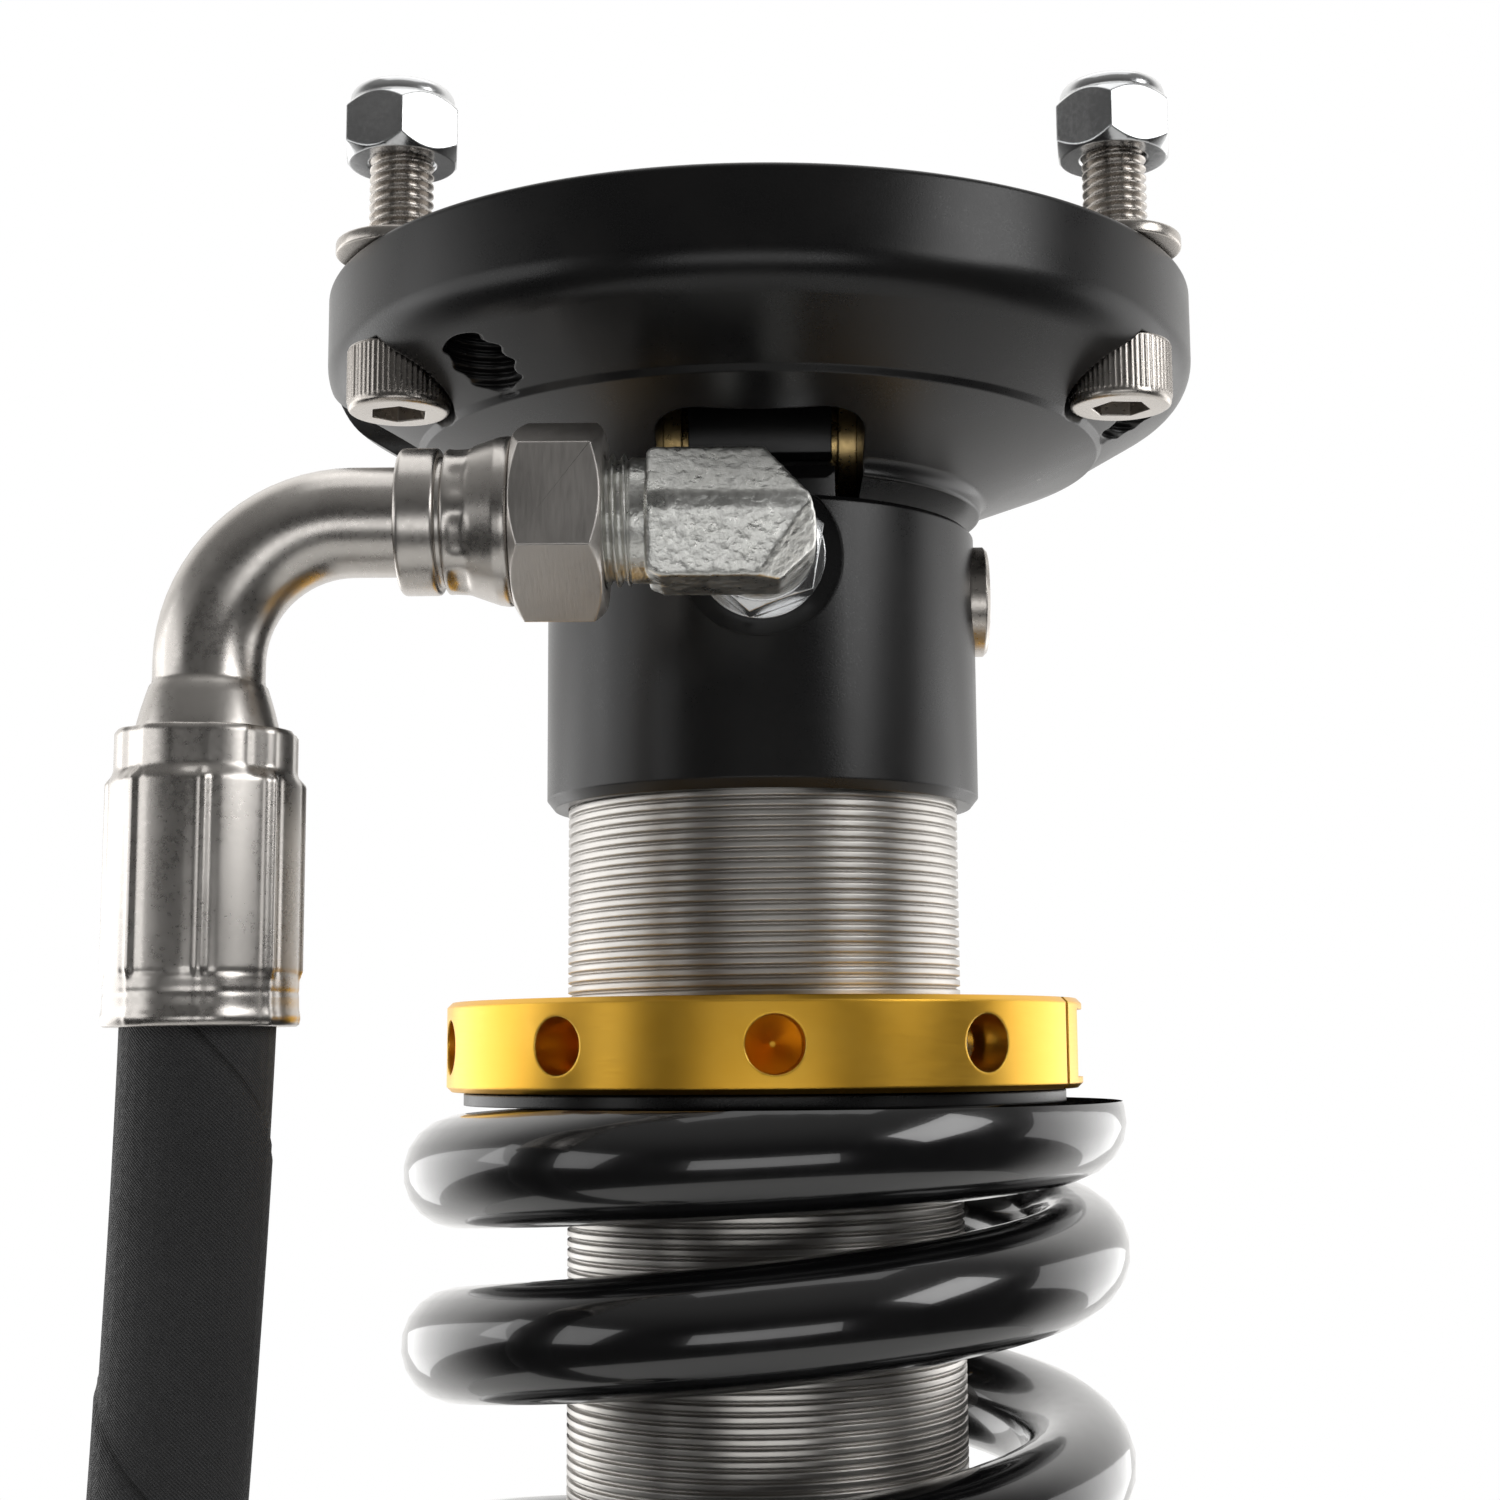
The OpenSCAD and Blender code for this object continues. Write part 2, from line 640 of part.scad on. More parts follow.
module piston_ring() {
  color(black) ring(bore_r - run_clear, bore_r - 1.6, -body_bottom + 62.05, -body_bottom + 71.95);
}
module shims() {
  color(steel) for (k = [0 : 3]) {
    ring(21 - 2.6 * k, 6, -body_bottom + 80 + k, -body_bottom + 81 + k);
    ring(21 - 2.6 * k, 6, -body_bottom + 53 - k, -body_bottom + 54 - k);
  }
}
module piston_nut() {
  color(steel) difference() {
    hexbar(19, -body_bottom + 84, -body_bottom + 94, 1);
    zcyl(5.98, -body_bottom + 80, -body_bottom + 97);
  }
}
module topout_bumper() {
  color(rubber) ring(16.5, shaft_r, -body_bottom + 44.5, -body_bottom + 49.9);
}
module bump_stop() {
  color([0.75, 0.62, 0.2]) translate([0, 0, -shaft_end + 24]) difference() {
    union() {
      zcyl(20, 0, 10);
      translate([0, 0, 10]) cylinder(r1 = 20, r2 = 16.5, h = 3);
      translate([0, 0, 13]) cylinder(r1 = 16.5, r2 = 19, h = 3);
      zcyl(19, 16, 22);
      translate([0, 0, 22]) cylinder(r1 = 19, r2 = 15.5, h = 6);
    }
    zcyl(shaft_r, -6, 34);
  }
}
module lower_perch() {
  color(black) difference() {
    union() {
      zcyl(57, -spring_end - 8, -spring_end - 1);
      translate([0, 0, -spring_end - 9.2]) cylinder(r1 = 55.8, r2 = 57, h = 1.2);
      zcyl(57.0, -spring_end - 1, -spring_end);
      zcyl(coil_r - wire_r - 0.5, -spring_end - 2, -spring_end + 9);
      translate([0, 0, -spring_end + 9]) cylinder(r1 = coil_r - wire_r - 0.5, r2 = coil_r - wire_r - 2.5, h = 2);
    }
    zcyl(30, -spring_end, -spring_end + 12);
    zcyl(20, -spring_end - 10, -spring_end + 1);
    for (a = [22.5 : 45 : 360]) rotate([0, 0, a]) translate([26, 0, 0]) zcyl(3, -spring_end - 10, -spring_end + 1);
  }
}
module lower_mount() {
  color(black) difference() {
    union() {
      zcyl(20, -shaft_end + 2, -shaft_end + 24);
      zcyl(27, -shaft_end, -spring_end - 9.2);
      zcyl(18, -shaft_end - 12, -shaft_end + 1);
      translate([0, 0, -lower_eye]) xcyl(22, -13, 13);
    }
    zcyl(shaft_r, -shaft_end, -shaft_end + 28);
    translate([0, 0, -lower_eye]) {
      xcyl(15, -30, 30);
      for (s = [0, 180]) rotate([0, 0, s]) xcyl(15.8, 7, 8.4);
    }
  }
}
module lower_race() {
  color(steel) translate([0, 0, -lower_eye]) difference() {
    xcyl(15, -6.95, 6.95);
    sphere(12.4 + run_clear);
  }
}
module lower_snap_rings() {
  color(black) translate([0, 0, -lower_eye])
    for (s = [0, 180]) rotate([0, 0, s]) xring(15.7, 13.4, 7.05, 8.35);
}
module lower_ball() {
  color(steel) translate([0, 0, -lower_eye]) intersection() {
    difference() { sphere(12.4); xcyl(8.5, -20, 20); }
    xcyl(20, -8, 8);
  }
}
module lower_spacers() {
  color(gold) translate([0, 0, -lower_eye]) for (s = [0, 180]) rotate([0, 0, s]) difference() {
    union() {
      xcyl(8.5 - run_clear, 0.2, 10);
      xcyl(10.8, 9.3, lower_width / 2 - 0.6);
      translate([lower_width / 2 - 0.6, 0, 0]) rotate([0, 90, 0]) cylinder(r1 = 10.8, r2 = 10.2, h = 0.6);
    }
    xcyl(lower_bolt_hole / 2, -1, lower_width);
  }
}

top_hat();
tower_bolts();
tower_washers();
tower_nuts();
cross_bolt();
upper_spacers();
upper_ball();
upper_race();
upper_snap_rings();
body_cap();
side_plug();
body_tube();
port_elbow();
port_nut();
port_washer();
swivel_nut();
hose_elbow();
upper_ferrule();
hose();
lower_ferrule();
hose_stem();
reservoir_nut();
reservoir_adapter();
reservoir_tube();
reservoir_top_cap();
reservoir_end_cap();
reservoir_snap_rings();
charge_valve();
valve_cap();
floating_piston();
floating_seal();
seal_head();
rod_seal();
wiper();
head_snap_ring();
seat_ring();
adjuster_collar();
pinch_screw();
set_screw();
coil_spring();
shaft();
piston();
piston_ring();
shims();
piston_nut();
topout_bumper();
bump_stop();
lower_perch();
lower_mount();
lower_race();
lower_snap_rings();
lower_ball();
lower_spacers();
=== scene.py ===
# %% [markdown]
# # A coilover damper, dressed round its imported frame
# The frame is the working design: every node already has its place, its size and the body it moves with.
# This notebook gives each visible piece the surface of the real thing. Turned and rolled parts whose plain
# shape isn't enough (threads, knurls, crimps, the forged elbow, the spring) are modelled again in place.
# All the others keep their frame shape and only get a better material.

# %% Load the frame
from math import atan2, ceil, cos, exp, pi, radians, sin, sqrt

import bpy
from mathutils import Matrix, Vector


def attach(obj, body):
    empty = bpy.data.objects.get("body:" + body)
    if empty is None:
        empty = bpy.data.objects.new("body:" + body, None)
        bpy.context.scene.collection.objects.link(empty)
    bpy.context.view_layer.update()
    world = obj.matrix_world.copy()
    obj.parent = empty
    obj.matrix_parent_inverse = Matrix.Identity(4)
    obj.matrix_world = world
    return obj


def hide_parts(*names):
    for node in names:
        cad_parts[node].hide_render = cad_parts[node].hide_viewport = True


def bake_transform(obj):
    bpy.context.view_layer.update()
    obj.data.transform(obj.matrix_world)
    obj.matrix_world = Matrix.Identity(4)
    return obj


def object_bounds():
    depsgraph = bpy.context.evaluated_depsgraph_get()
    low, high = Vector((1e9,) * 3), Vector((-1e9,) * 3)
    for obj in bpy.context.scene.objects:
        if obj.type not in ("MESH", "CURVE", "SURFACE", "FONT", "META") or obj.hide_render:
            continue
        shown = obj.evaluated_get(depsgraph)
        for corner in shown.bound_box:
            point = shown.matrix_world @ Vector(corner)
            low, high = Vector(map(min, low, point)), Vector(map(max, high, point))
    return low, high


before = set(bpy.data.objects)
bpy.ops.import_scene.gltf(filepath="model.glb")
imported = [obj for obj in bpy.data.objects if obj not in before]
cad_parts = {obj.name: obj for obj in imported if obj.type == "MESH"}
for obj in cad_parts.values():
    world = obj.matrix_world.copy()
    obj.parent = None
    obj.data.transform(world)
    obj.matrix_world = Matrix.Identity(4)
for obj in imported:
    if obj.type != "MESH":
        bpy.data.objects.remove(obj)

cad_low, cad_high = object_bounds()
MM = 0.001
scene = bpy.context.scene
print("frame box, mm:", [round(v / MM) for v in (*cad_low, *cad_high)])

# %% [markdown]
# ## Camera
# The camera stands a little below the top of the object and looks slightly up, with a short tele lens. So
# the top hat shows its underside, while the body stays nearly straight.

# %% Camera
CAMERA_HEIGHT = -0.12276
CAMERA_DISTANCE = 0.38435
CAMERA_PITCH = 7.91
CAMERA_ROLL = -0.44
bpy.ops.object.camera_add(location=(0, -CAMERA_DISTANCE, CAMERA_HEIGHT))
camera = bpy.context.object
camera.rotation_mode = "ZYX"
camera.rotation_euler = (radians(90 + CAMERA_PITCH), 0, radians(CAMERA_ROLL))
camera.data.lens = 56.42
camera.data.sensor_width = 36
camera.data.shift_x = -0.0081
camera.data.shift_y = -0.0165
camera.data.clip_start = 0.01
scene.camera = camera
scene.view_settings.view_transform = "Standard"
print("camera at", tuple(round(v, 4) for v in camera.location))


# %% [markdown]
# ## A small bench of modelling helpers
# Nearly all of the parts are turned, drawn or cut, so four hand moves cover them: draw a line point by
# point, spin it round the Z axis, pull a flat outline into a bar, and cut one solid with another. Each
# helper works at the origin with its axis up, and `place` then carries the finished mesh to its seat.

# %% Selecting and placing
def only(obj):
    """Select one object and nothing else."""
    if bpy.context.object and bpy.context.object.mode != "OBJECT":
        bpy.ops.object.mode_set(mode="OBJECT")
    bpy.ops.object.select_all(action="DESELECT")
    obj.select_set(True)
    bpy.context.view_layer.objects.active = obj


def edit(obj):
    only(obj)
    bpy.ops.object.mode_set(mode="EDIT")
    bpy.ops.mesh.select_all(action="SELECT")


def object_mode():
    bpy.ops.object.mode_set(mode="OBJECT")


AXIS_TURN = {
    "Z": (0, 0, 0),
    "-Z": (pi, 0, 0),
    "X": (0, pi / 2, 0),
    "-X": (0, -pi / 2, 0),
    "Y": (-pi / 2, 0, 0),
    "-Y": (pi / 2, 0, 0),
}


def place(obj, at=(0, 0, 0), axis="Z", turn=0):
    """Turn the mesh about its own Z axis, point that axis somewhere, and carry it to its place, in mm."""
    point = Matrix.Translation(Vector(at) * MM)
    for angle, letter in zip(AXIS_TURN[axis], "XYZ"):
        point = point @ Matrix.Rotation(angle, 4, letter)
    obj.data.transform(point @ Matrix.Rotation(radians(turn), 4, "Z"))
    obj.data.update()
    return obj


def modify(obj, kind, **settings):
    """Add one modifier with its settings and apply it."""
    only(obj)
    modifier = obj.modifiers.new(kind.title(), kind)
    for name, value in settings.items():
        setattr(modifier, name, value)
    bpy.ops.object.modifier_apply(modifier=modifier.name)
    return obj


# %% Drawing, spinning and pulling
def draw(name, points, closed=False):
    """A chain of edges through points in mm, drawn one extrusion at a time."""
    bpy.ops.object.select_all(action="DESELECT")
    first = Vector(points[0]) * MM
    bpy.ops.mesh.primitive_plane_add(size=MM, location=first)
    obj = bpy.context.object
    obj.name = obj.data.name = name
    bpy.ops.object.mode_set(mode="EDIT")
    bpy.ops.mesh.select_all(action="SELECT")
    bpy.ops.mesh.merge(type="CENTER")
    for here, there in zip(points, points[1:]):
        step = (Vector(there) - Vector(here)) * MM
        bpy.ops.mesh.extrude_region_move(TRANSFORM_OT_translate={"value": step})
    if closed:
        bpy.ops.mesh.select_all(action="SELECT")
        bpy.ops.mesh.edge_face_add()
    object_mode()
    bpy.ops.object.transform_apply(location=True, rotation=True, scale=True)
    return obj


def tidy(obj):
    """Merge doubles and make the faces point outwards."""
    edit(obj)
    bpy.ops.mesh.remove_doubles(threshold=2e-6)
    bpy.ops.mesh.select_all(action="SELECT")
    bpy.ops.mesh.normals_make_consistent(inside=False)
    object_mode()
    return obj


def rounded(corners, steps=6):
    """An open outline of (a, b, radius) corners, in which each radius becomes an arc."""
    points = []
    for i, (a, b, radius) in enumerate(corners):
        here = Vector((a, b))
        if radius == 0 or i in (0, len(corners) - 1):
            points.append(here)
            continue
        back = (Vector(corners[i - 1][:2]) - here).normalized()
        ahead = (Vector(corners[i + 1][:2]) - here).normalized()
        half = back.angle(ahead) / 2
        middle = here + (back + ahead).normalized() * radius / sin(half)
        reach = radius * cos(half) / sin(half)
        start = here + back * reach - middle
        turn = start.angle_signed(here + ahead * reach - middle)
        for k in range(steps + 1):
            spoke = start.copy()
            spoke.rotate(Matrix.Rotation(-turn * k / steps, 2))
            points.append(middle + spoke)
    return points


def spun(name, outline, steps=96):
    """A turned piece: an outline of (radius, height) points in mm, spun round the Z axis."""
    obj = draw(name, [(r, 0, z) for r, z in outline])
    edit(obj)
    bpy.ops.mesh.spin(steps=steps, angle=2 * pi, center=(0, 0, 0), axis=(0, 0, 1))
    object_mode()
    return tidy(obj)


def bar(name, outline, low, high):
    """A flat closed outline of (x, y) points, pulled from one height to another."""
    obj = draw(name, [(x, y, low) for x, y in outline], closed=True)
    edit(obj)
    pull = {"value": (0, 0, (high - low) * MM)}
    bpy.ops.mesh.extrude_region_move(TRANSFORM_OT_translate=pull)
    object_mode()
    return tidy(obj)


def ring_of(radius, count, start=0):
    """Points round a circle, as an outline for a bar."""
    return [
        (radius * cos(radians(start + 360 * k / count)), radius * sin(radians(start + 360 * k / count)))
        for k in range(count)
    ]


def hexagon(across_flats):
    return ring_of(across_flats / sqrt(3), 6)


# %% Cutting and joining
def combine(obj, tool, operation="DIFFERENCE"):
    """Cut, keep the overlap of, or unite two solids. The tool is used up."""
    modify(obj, "BOOLEAN", object=tool, operation=operation, solver="EXACT")
    bpy.data.objects.remove(tool)
    return obj


def joined(*objs):
    only(objs[0])
    for other in objs[1:]:
        other.select_set(True)
    bpy.ops.object.join()
    return objs[0]


def soften(obj, width, segments=2, angle=30):
    """Round the sharp edges of a piece, then smooth the shading between them."""
    modify(
        obj, "BEVEL", width=width * MM, segments=segments, limit_method="ANGLE", angle_limit=radians(angle)
    )
    smooth(obj, 50)
    return modify(obj, "WEIGHTED_NORMAL", mode="FACE_AREA", weight=80, keep_sharp=True)


def smooth(obj, angle=35):
    only(obj)
    bpy.ops.object.shade_smooth_by_angle(angle=radians(angle))
    return obj


def level_cut(obj, foot, top):
    """Slice a piece flat at two heights in mm, and cap both ends."""
    for height, side in ((foot, "clear_inner"), (top, "clear_outer")):
        edit(obj)
        plane = {"plane_co": (0, 0, height * MM), "plane_no": (0, 0, 1)}
        bpy.ops.mesh.bisect(use_fill=True, **plane, **{side: True})
        object_mode()
    return tidy(obj)


def seat(obj, node, body, material):
    """Give a finished piece its material, its body and the node that it stands for."""
    obj.data.materials.clear()
    obj.data.materials.append(material)
    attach(obj, body)
    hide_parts(node)
    print(f"{obj.name}: {len(obj.data.polygons)} faces, rides on {body}")
    return obj


# %% [markdown]
# ## Threads
# A screw thread is one small tooth outline swept along a helix. The Screw modifier does exactly that, and
# with its vertices merged the turns close up into one skin. The two ends run out as a step, so the skin is
# made a turn too long at each end and sliced flat, which also caps it.

# %% A threaded rod
def swept_thread(name, tooth, pitch, low, high, steps):
    """Sweep a tooth of (radius, share of the pitch) points up a helix, from one height to another."""
    obj = draw(name, [(r, 0, low - pitch + share * pitch) for r, share in tooth])
    turns = ceil((high - low) / pitch) + 2
    modify(
        obj, "SCREW", axis="Z", steps=steps, render_steps=steps, screw_offset=pitch * MM,
        iterations=turns, use_merge_vertices=True, merge_threshold=1e-6,
    )
    return level_cut(tidy(obj), low, high)


def threaded(name, crest, root, pitch, low, high, steps=48):
    tooth = [(root, 0), (root, 0.14), (crest, 0.43), (crest, 0.57), (root, 0.86), (root, 1)]
    return swept_thread(name, tooth, pitch, low, high, steps)


# %% [markdown]
# ## Finishes
# Metal looks real through small differences: grain that scatters the light, marks left by the lathe, and
# edges with a thin bright line, partly from a rounded normal and partly a painted highlight in the colour.
# These three effects are node groups, so every material can use them with its own values.

# %% Node helpers
def new_group(name, inputs, outputs):
    group = bpy.data.node_groups.new(name, "ShaderNodeTree")
    for label, kind, default in inputs:
        socket = group.interface.new_socket(label, in_out="INPUT", socket_type=kind)
        if default is not None:
            socket.default_value = default
    for label, kind in outputs:
        group.interface.new_socket(label, in_out="OUTPUT", socket_type=kind)
    return group, group.nodes.new("NodeGroupInput"), group.nodes.new("NodeGroupOutput")


def node(tree, kind, **settings):
    made = tree.nodes.new("ShaderNode" + kind)
    for name, value in settings.items():
        setattr(made, name, value)
    return made


def put(tree, source, target):
    """Link an output to an input, or set the input when the source is a plain value."""
    if isinstance(source, bpy.types.NodeSocket):
        tree.links.new(source, target)
    else:
        target.default_value = source


def math_node(tree, operation, a, b=0.0, clamp=False):
    made = node(tree, "Math", operation=operation, use_clamp=clamp)
    put(tree, a, made.inputs[0])
    put(tree, b, made.inputs[1])
    return made.outputs[0]


def ranged(tree, value, low, high, to_low=0.0, to_high=1.0):
    made = node(tree, "MapRange", interpolation_type="SMOOTHSTEP")
    for socket, source in zip(made.inputs, (value, low, high, to_low, to_high)):
        put(tree, source, socket)
    return made.outputs[0]


def noise(tree, vector, scale, detail=3.0):
    made = node(tree, "TexNoise")
    put(tree, vector, made.inputs["Vector"])
    put(tree, scale, made.inputs["Scale"])
    made.inputs["Detail"].default_value = detail
    made.inputs["Roughness"].default_value = 0.55
    return made.outputs["Fac"]


def object_coords(tree):
    return node(tree, "TexCoord").outputs["Object"]


# %% Edge group
# A painted highlight along edges: the colour turns lighter where the rounded normal differs from the flat
# one, which happens only close to an edge.
edge_group, given, result = new_group(
    "Edge light",
    [("Width", "NodeSocketFloat", 0.0004), ("Breakup", "NodeSocketFloat", 0.5)],
    [("Edge", "NodeSocketFloat"), ("Normal", "NodeSocketVector")],
)
bevel = node(edge_group, "Bevel", samples=6)
put(edge_group, given.outputs["Width"], bevel.inputs["Radius"])
geometry = node(edge_group, "NewGeometry")
dot = node(edge_group, "VectorMath", operation="DOT_PRODUCT")
put(edge_group, bevel.outputs[0], dot.inputs[0])
put(edge_group, geometry.outputs["Normal"], dot.inputs[1])
bend = math_node(edge_group, "SUBTRACT", 1.0, dot.outputs["Value"])
patchy = noise(edge_group, object_coords(edge_group), 220.0)
patchy = math_node(edge_group, "MULTIPLY", patchy, given.outputs["Breakup"])
patchy = math_node(edge_group, "MULTIPLY", patchy, 0.12)
# mask of the painted edge highlight, broken up by noise
painted_edge_highlight = ranged(edge_group, math_node(edge_group, "SUBTRACT", bend, patchy), 0.02, 0.2)
put(edge_group, painted_edge_highlight, result.inputs["Edge"])
put(edge_group, bevel.outputs[0], result.inputs["Normal"])
print("made", edge_group.name)

# %% Grain group
# Fine grain in two sizes: a coarse cloud that varies the finish, and a fine one for the surface itself.
grain_group, given, result = new_group(
    "Grain",
    [
        ("Stretch", "NodeSocketVector", (1, 1, 1)),
        ("Fine", "NodeSocketFloat", 2500.0),
        ("Coarse", "NodeSocketFloat", 60.0),
    ],
    [("Fine", "NodeSocketFloat"), ("Coarse", "NodeSocketFloat")],
)
stretch = node(grain_group, "VectorMath", operation="MULTIPLY")
put(grain_group, object_coords(grain_group), stretch.inputs[0])
put(grain_group, given.outputs["Stretch"], stretch.inputs[1])
fine_grain = noise(grain_group, stretch.outputs[0], given.outputs["Fine"], 4.0)
coarse_grain = noise(grain_group, object_coords(grain_group), given.outputs["Coarse"], 4.0)
put(grain_group, fine_grain, result.inputs["Fine"])
put(grain_group, coarse_grain, result.inputs["Coarse"])
print("made", grain_group.name)

# %% Specks group
# A few bright dust specks, which black parts always show.
speck_group, given, result = new_group(
    "Specks",
    [("Scale", "NodeSocketFloat", 260.0), ("Share", "NodeSocketFloat", 0.03)],
    [("Speck", "NodeSocketFloat")],
)
cells = node(speck_group, "TexVoronoi", feature="F1")
put(speck_group, object_coords(speck_group), cells.inputs["Vector"])
put(speck_group, given.outputs["Scale"], cells.inputs["Scale"])
chosen = node(speck_group, "SeparateColor")
put(speck_group, cells.outputs["Color"], chosen.inputs[0])
picked = math_node(speck_group, "LESS_THAN", chosen.outputs[0], given.outputs["Share"])
small = math_node(speck_group, "LESS_THAN", cells.outputs["Distance"], 0.09)
put(speck_group, math_node(speck_group, "MULTIPLY", picked, small), result.inputs["Speck"])
print("made", speck_group.name)


# %% [markdown]
# ## One recipe for every hard finish
# Anodised, plated and bare metal differ only in numbers: two shades that the grain mixes, the gloss and how
# far the grain disturbs it, how strong the relief is, and how light the painted edge highlight is. The
# shader itself stays in each material, with its constant values set directly on it.

# %% Hard finish
def hard_finish(
    name, dark, light, metallic, rough, relief=0.15, fine=2500.0, coarse=60.0, stretch=(1, 1, 1),
    painted_edge_highlight=None, edge_width=0.0004, rough_spread=0.12, specks=0.0, relief_depth=0.00005, **fixed
):
    material = bpy.data.materials.new(name)
    material.use_nodes = True
    tree = material.node_tree
    shader = tree.nodes["Principled BSDF"]
    grain = node(tree, "Group", node_tree=grain_group)
    grain.inputs["Stretch"].default_value = stretch
    grain.inputs["Fine"].default_value = fine
    grain.inputs["Coarse"].default_value = coarse
    corner = node(tree, "Group", node_tree=edge_group)
    corner.inputs["Width"].default_value = edge_width
    shade = node(tree, "Mix", data_type="RGBA")
    put(tree, ranged(tree, grain.outputs["Coarse"], 0.3, 0.7), shade.inputs["Factor"])
    put(tree, (*dark, 1), shade.inputs["A"])
    put(tree, (*light, 1), shade.inputs["B"])
    colour = shade.outputs["Result"]
    # painted highlight: a lighter colour mixed in along the edges
    if painted_edge_highlight:
        wear_and_painted_highlight = node(tree, "Mix", data_type="RGBA")
        put(tree, corner.outputs["Edge"], wear_and_painted_highlight.inputs["Factor"])
        put(tree, colour, wear_and_painted_highlight.inputs["A"])
        put(tree, (*painted_edge_highlight, 1), wear_and_painted_highlight.inputs["B"])
        colour = wear_and_painted_highlight.outputs["Result"]
    if specks:
        dust = node(tree, "Group", node_tree=speck_group)
        dust.inputs["Share"].default_value = specks
        dusty = node(tree, "Mix", data_type="RGBA")
        put(tree, dust.outputs["Speck"], dusty.inputs["Factor"])
        put(tree, colour, dusty.inputs["A"])
        put(tree, (0.35, 0.34, 0.33, 1), dusty.inputs["B"])
        colour = dusty.outputs["Result"]
    put(tree, colour, shader.inputs["Base Color"])
    both = math_node(tree, "ADD", grain.outputs["Fine"], grain.outputs["Coarse"])
    gloss = ranged(tree, both, 0.6, 1.4, rough - rough_spread / 2, rough + rough_spread / 2)
    put(tree, gloss, shader.inputs["Roughness"])
    bump = node(tree, "Bump")
    bump.inputs["Strength"].default_value = relief
    bump.inputs["Distance"].default_value = relief_depth
    put(tree, grain.outputs["Fine"], bump.inputs["Height"])
    put(tree, corner.outputs["Normal"], bump.inputs["Normal"])
    put(tree, bump.outputs[0], shader.inputs["Normal"])
    shader.inputs["Metallic"].default_value = metallic
    for label, value in fixed.items():
        shader.inputs[label.replace("_", " ")].default_value = value
    return material


# %% The metals and platings
black_anodised = hard_finish(
    "black_anodised", (0.0065, 0.0065, 0.007), (0.0095, 0.009, 0.009), 0.0, 0.30, relief=0.22, fine=3200.0,
    painted_edge_highlight=(0.03, 0.029, 0.028), specks=0.012, rough_spread=0.08, Specular_IOR_Level=0.42,
)
gold_anodised = hard_finish(
    "gold_anodised", (0.88, 0.48, 0.05), (0.92, 0.53, 0.07), 1.0, 0.34, relief=0.12, fine=900.0,
    stretch=(0.25, 0.25, 6), painted_edge_highlight=(0.98, 0.66, 0.14), edge_width=0.0005, rough_spread=0.08,
)
stainless = hard_finish(
    "stainless", (0.50, 0.465, 0.43), (0.60, 0.565, 0.525), 1.0, 0.28, relief=0.25, fine=1600.0,
    painted_edge_highlight=(0.74, 0.70, 0.66), rough_spread=0.14,
)
brushed_tube = hard_finish(
    "brushed_tube", (0.56, 0.53, 0.50), (0.64, 0.61, 0.575), 1.0, 0.29, relief=0.12, fine=1300.0,
    coarse=110.0, stretch=(1, 0.3, 1), rough_spread=0.09,
)
ground_hex = hard_finish(
    "ground_hex", (0.54, 0.515, 0.49), (0.62, 0.59, 0.56), 1.0, 0.38, relief=0.5, fine=2400.0,
    stretch=(1, 0.12, 0.12), painted_edge_highlight=(0.74, 0.71, 0.68), rough_spread=0.12,
)
zinc_plate = hard_finish(
    "zinc_plate", (0.60, 0.61, 0.62), (0.72, 0.725, 0.73), 1.0, 0.2, relief=0.12, fine=1500.0,
    painted_edge_highlight=(0.82, 0.82, 0.82), rough_spread=0.12,
)
forged_zinc = hard_finish(
    "forged_zinc", (0.60, 0.60, 0.57), (0.76, 0.76, 0.73), 1.0, 0.33, relief=0.85, fine=1050.0,
    coarse=240.0, rough_spread=0.18, relief_depth=0.00016,
)
yellow_zinc = hard_finish(
    "yellow_zinc", (0.52, 0.36, 0.14), (0.68, 0.50, 0.24), 1.0, 0.3, relief=0.2, fine=1200.0,
    painted_edge_highlight=(0.78, 0.62, 0.36), rough_spread=0.14,
)
body_steel = hard_finish(
    "body_steel", (0.50, 0.48, 0.455), (0.58, 0.56, 0.53), 1.0, 0.34, relief=0.06, fine=900.0,
    stretch=(0.3, 0.3, 5), rough_spread=0.08,
)
bearing_steel = hard_finish(
    "bearing_steel", (0.50, 0.50, 0.50), (0.58, 0.58, 0.575), 1.0, 0.16, relief=0.08, painted_edge_highlight=(0.7, 0.7, 0.7),
)
hard_chrome = hard_finish(
    "hard_chrome", (0.60, 0.61, 0.62), (0.66, 0.665, 0.67), 1.0, 0.07, relief=0.04, rough_spread=0.04,
    painted_edge_highlight=(0.8, 0.8, 0.8),
)
black_oxide = hard_finish(
    "black_oxide", (0.014, 0.013, 0.013), (0.024, 0.023, 0.022), 0.6, 0.36, relief=0.3, fine=2200.0,
    painted_edge_highlight=(0.10, 0.095, 0.09), rough_spread=0.16,
)
brass = hard_finish(
    "brass", (0.62, 0.42, 0.14), (0.72, 0.52, 0.21), 1.0, 0.26, relief=0.2, painted_edge_highlight=(0.85, 0.68, 0.36),
)
bronze_liner = hard_finish(
    "bronze_liner", (0.30, 0.20, 0.11), (0.40, 0.28, 0.16), 0.7, 0.42, relief=0.3, fine=1800.0,
)
black_rubber = hard_finish(
    "black_rubber", (0.014, 0.014, 0.014), (0.026, 0.026, 0.026), 0.0, 0.62, relief=0.35, fine=1800.0,
)
yellow_urethane = hard_finish(
    "yellow_urethane", (0.60, 0.40, 0.06), (0.68, 0.48, 0.10), 0.0, 0.5, relief=0.4, fine=1500.0,
    coarse=45.0, Subsurface_Weight=0.15, Subsurface_Scale=0.004,
)
print("finishes made:", len(bpy.data.materials))

# %% [markdown]
# ## Powder coat on the spring
# Powder coat is a thick plastic skin: deep black, very glossy, and slightly wavy like orange peel. A clear
# coat on a dark base gives the two layers, and a low, wide wave in the normal breaks up the long
# reflections along the wire.

